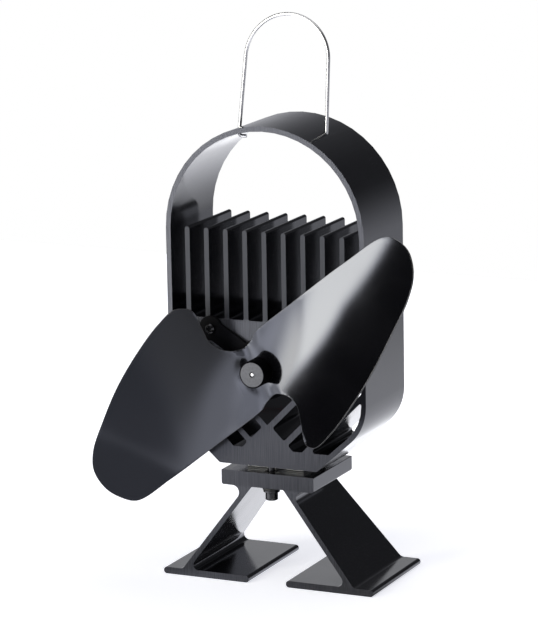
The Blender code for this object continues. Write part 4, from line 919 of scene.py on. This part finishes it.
# %% Make the table top
TABLE_OUTLINE = ((-0.42, -0.80), (0.90, -0.80), (0.90, 0.78),
                 (-1.10, 0.78), (-1.10, -0.28), (-0.42, -0.28))
TABLE_TOP = -0.1 * MM
table_shape = bmesh.new()
table_shape.faces.new([table_shape.verts.new((x, y, TABLE_TOP)) for x, y in TABLE_OUTLINE])
bmesh.ops.triangulate(table_shape, faces=table_shape.faces)
table_mesh = bpy.data.meshes.new("white_table")
table_shape.to_mesh(table_mesh)
table_shape.free()
table_top = bpy.data.objects.new("white_table", table_mesh)
bpy.context.scene.collection.objects.link(table_top)
print("table corners:", len(TABLE_OUTLINE))

# %% [markdown]
# The map fades from left to right and from front to back, and patches are added to it. Each
# patch is a soft-edged oval: its centre, its half size, where its edge begins and ends as a
# share of that size, and its level in the middle. The lights add up. Of the shades only the
# deepest counts at each place.

# %% Paint the table's map
SPILL_LEVEL = 5.00
MIRROR_PATCHES = {
    "fan_shade": ((0.08, -0.18), (0.17, 0.205), 0.74, 1.14, -1.00),
    "tip_shade": ((-0.08, -0.075), (0.055, 0.065), 0.60, 1.20, -1.10),
    "lobe_shade": ((-0.040, -0.148), (0.051, 0.079), 0.60, 1.20, -1.10),
    "front_light": ((0.05, -0.75), (0.34, 0.34), 0.30, 1.00, 0.90),
    "key_spill": ((-0.52, -0.50), (0.36, 0.34), 0.15, 1.05, SPILL_LEVEL),
    "key_foot": ((-0.21, -0.33), (0.06, 0.15), 0.30, 1.15, 1.20),
    "fade_right": ((0.75, 1.05), (1.0, 1.0), 0.35, 0.85, -0.45),
}
LOWEST_MIRROR_GLOW = 0.06
LOBE_DARKENING = 0.85
TABLE_WHITE = (0.80, 0.80, 0.80)
SHADED_TONE = (0.42, 0.44, 0.52)
COOL_AIR = (0.975, 0.985, 1.05)
WARM_SPILL = (1.07, 1.045, 0.94)
table = Finish("white_table")
table_tree = table.tree
table.shader.inputs["Roughness"].default_value = 0.9
table.shader.inputs["Specular IOR Level"].default_value = 0.0


def table_patch(centre, half_size, inner, outer, at_centre, outside=0.0):
    """A soft-edged oval on the table: one level in its middle and another outside it."""
    away = vector_math(table_tree, "SUBTRACT", table.coordinates, (*centre, 0))
    shares = vector_math(table_tree, "DIVIDE", away.outputs[0], (*half_size, 1))
    reach = vector_math(table_tree, "LENGTH", shares.outputs[0], (0, 0, 0)).outputs["Value"]
    return spread_value(table_tree, reach, inner, outer, at_centre, outside, smooth=True)


patches = {name: table_patch(*row) for name, row in MIRROR_PATCHES.items()}
across_table, along_table, _ = separate(table_tree, table.coordinates)
left_to_right = spread_value(table_tree, across_table, -0.06, 0.14, 1.18, 0.68, smooth=True)
far_back = spread_value(table_tree, along_table, 0.20, 0.60, 0.10, -0.05, smooth=True)
under_lobe = value_math(table_tree, "MINIMUM", patches["tip_shade"], patches["lobe_shade"])
shade = value_math(table_tree, "MINIMUM", patches["fan_shade"], under_lobe)
mirror_level = left_to_right
for part in (shade, patches["front_light"], patches["key_spill"], patches["key_foot"],
             patches["fade_right"], far_back):
    mirror_level = value_math(table_tree, "ADD", mirror_level, part)
mirror_level = value_math(table_tree, "MAXIMUM", mirror_level, LOWEST_MIRROR_GLOW)
print("patches of the map:", sorted(patches))

# %% [markdown]
# Light Path tells the rays apart. The table's colour goes darker under the lobe for mirrored
# rays only: painted shade. Its glow turns warm where the lamp's light spills.

# %% Finish the table
rays = table_tree.nodes.new("ShaderNodeLightPath").outputs
mirrored_ray = value_math(table_tree, "MAXIMUM",
                          rays["Is Glossy Ray"], rays["Is Transmission Ray"])
table_marks = value_math(table_tree, "MULTIPLY", table.group(MARKS, Marks_per_metre=3.0), 0.04)
mirrored_shade = value_math(table_tree, "MULTIPLY", mirrored_ray, under_lobe)
table_tone = table.add_up(mirrored_shade, -LOBE_DARKENING, table_marks)
table.colour(table_tone, TABLE_WHITE, SHADED_TONE)
warmth = spread_value(table_tree, patches["key_spill"], 0.0, SPILL_LEVEL)
table.colour(warmth, COOL_AIR, WARM_SPILL, socket="Emission Color")
# Painted shade: the camera's glow is lower close to the fan than far away, which greys the table
# round its feet.
near_to_far = table_patch((-0.05, -0.04), (1.0, 1.0), 0.08, 0.34, 0.70, 1.06)
camera_glow = value_math(table_tree, "MULTIPLY", rays["Is Camera Ray"], near_to_far)
mirror_glow = value_math(table_tree, "MULTIPLY", mirrored_ray, mirror_level)
table.drive("Emission Strength", value_math(table_tree, "ADD", camera_glow, mirror_glow))
table_mesh.materials.append(table.material)
print("material", table.material.name)

# %% [markdown]
# ## The lamps
#
# A broad light overhead brightens the table and everything that looks up. A low pale card
# stands behind to the left: the tops of the feet mirror it, and the ring above it does not.


# %% Set up the lamps
FAN_MIDDLE = Vector((0.0, 0.0, 0.12))


def soft_light(name, azimuth, elevation, distance, size, radiance):
    """A rectangular area light that faces the fan. Its strength is given as its brightness."""
    data = bpy.data.lights.new(name, "AREA")
    data.shape = "RECTANGLE"
    data.size, data.size_y = size
    data.energy = radiance * math.pi * size[0] * size[1]
    light = bpy.data.objects.new(name, data)
    light.visible_camera = False
    bpy.context.scene.collection.objects.link(light)
    out = direction(math.radians(azimuth), math.radians(elevation))
    light.matrix_world = (Matrix.Translation(FAN_MIDDLE + out * distance)
                          @ out.to_track_quat("Z", "Y").to_matrix().to_4x4())


soft_light("overhead_softbox", azimuth=0, elevation=89, distance=1.5,
           size=(1.4, 1.4), radiance=1.0)
soft_light("back_card", azimuth=-155, elevation=-1, distance=0.5,
           size=(0.5, 0.17), radiance=0.42)
print("lights:", [light.name for light in bpy.data.lights])

# %% [markdown]
# ## The room
#
# The picture shows what the studio was, because every glossy face is a mirror. A large soft
# light stands to the front left and makes the bright band on the blade. It is a little warmer
# than the room. Its left edge leans to the right in two pieces and its lower edge rises. A wide
# weak glow lies low in front, and the back is pale near the table and dark higher up. The world
# draws all of them from the direction alone, which gives clean reflections, and the camera sees
# plain white. How far a direction points right, back and up runs from -1 to 1.

# %% Draw the room
KEY_LEVEL = 8.8
CRISP_EDGE = (-0.045, 0.045)
LEFT_EDGE = (-0.035, 0.055)
FOOT_EDGE = (-0.12, 0.15)
WARM_LAMP = (1.065, 1.045, 0.945)
world = bpy.data.worlds.new("studio_room")
world.use_nodes = True
bpy.context.scene.world = world
room = world.node_tree
background = room.nodes["Background"]
WAYS = room.nodes.new("ShaderNodeTexCoord").outputs["Generated"]
to_right, to_back, to_top = separate(room, WAYS)


def room_patch(level, *spans):
    """A soft-edged patch of the room. A span is a value, where it shows nothing and where all."""
    patch = None
    for value, nothing, full in spans:
        edge = spread_value(room, value, nothing, full, smooth=True)
        patch = edge if patch is None else value_math(room, "MULTIPLY", patch, edge)
    return value_math(room, "MULTIPLY", patch, level)


def room_edge(first, second):
    """A value that is 0 on a line through two (azimuth, elevation) places and grows to one side."""
    line = [direction(math.radians(azimuth), math.radians(elevation))
            for azimuth, elevation in (first, second)]
    across = line[1].cross(line[0]).normalized()
    return vector_math(room, "DOT_PRODUCT", WAYS, tuple(across)).outputs["Value"]


softbox_left = value_math(room, "MAXIMUM", room_edge((-54, -7), (-44.5, 3)),
                          room_edge((-45.4, 1), (-41.8, 19)))
softbox_foot = room_edge((-28, -12), (-46, -18))
softbox_right = room_edge((-25, 40), (-25, -20))
softbox_top = room_edge((-60, 46), (-10, 46))
key = room_patch(KEY_LEVEL, (softbox_left, *LEFT_EDGE), (softbox_foot, *FOOT_EDGE),
                 (softbox_right, *CRISP_EDGE), (softbox_top, *CRISP_EDGE))
front_glow = room_patch(1.9, (to_back, 0.0, -0.5), (to_right, -0.46, -0.33),
                        (to_right, 0.36, 0.08), (to_top, 0.16, 0.0), (to_top, -0.42, -0.26))
front_right = room_patch(0.7, (to_back, 0.2, -0.3), (to_right, -0.2, 0.1), (to_top, 0.2, 0.0))
back_left = room_patch(0.50, (to_back, -0.2, 0.4), (to_right, 0.25, -0.2), (to_top, 0.60, 0.0))
back_right = room_patch(0.6, (to_back, 0.0, 0.4), (to_right, -0.2, 0.3), (to_top, 0.24, -0.30))
dark_room = spread_value(room, to_right, -0.5, 0.3, 0.015, 0.07, smooth=True)
room_level = dark_room
for part in (key, front_glow, front_right, back_left, back_right):
    room_level = value_math(room, "ADD", room_level, part)
to_camera = room.nodes.new("ShaderNodeLightPath").outputs["Is Camera Ray"]
white_or_room = room.nodes.new("ShaderNodeMix")
room.links.new(to_camera, white_or_room.inputs["Factor"])
room.links.new(room_level, white_or_room.inputs["A"])
white_or_room.inputs["B"].default_value = 1.0
room.links.new(white_or_room.outputs["Result"], background.inputs["Strength"])
key_share = spread_value(room, key, 0.0, KEY_LEVEL)
air = mix_colours(room, key_share, (*COOL_AIR, 1), (*WARM_LAMP, 1))
seen_air = mix_colours(room, to_camera, air, (1, 1, 1, 1))
room.links.new(seen_air, background.inputs["Color"])
print("world", world.name, "with", len(room.nodes), "nodes")

# %% [markdown]
# ## The view transform
#
# The dressed fan has to fill the imported box. Only the blade's smoother tips pass it, by 0.3
# millimetres. The last lines set a plain view transform and update the scene.

# %% Set the view transform
bpy.context.scene.view_settings.view_transform = "Standard"
bpy.context.view_layer.update()
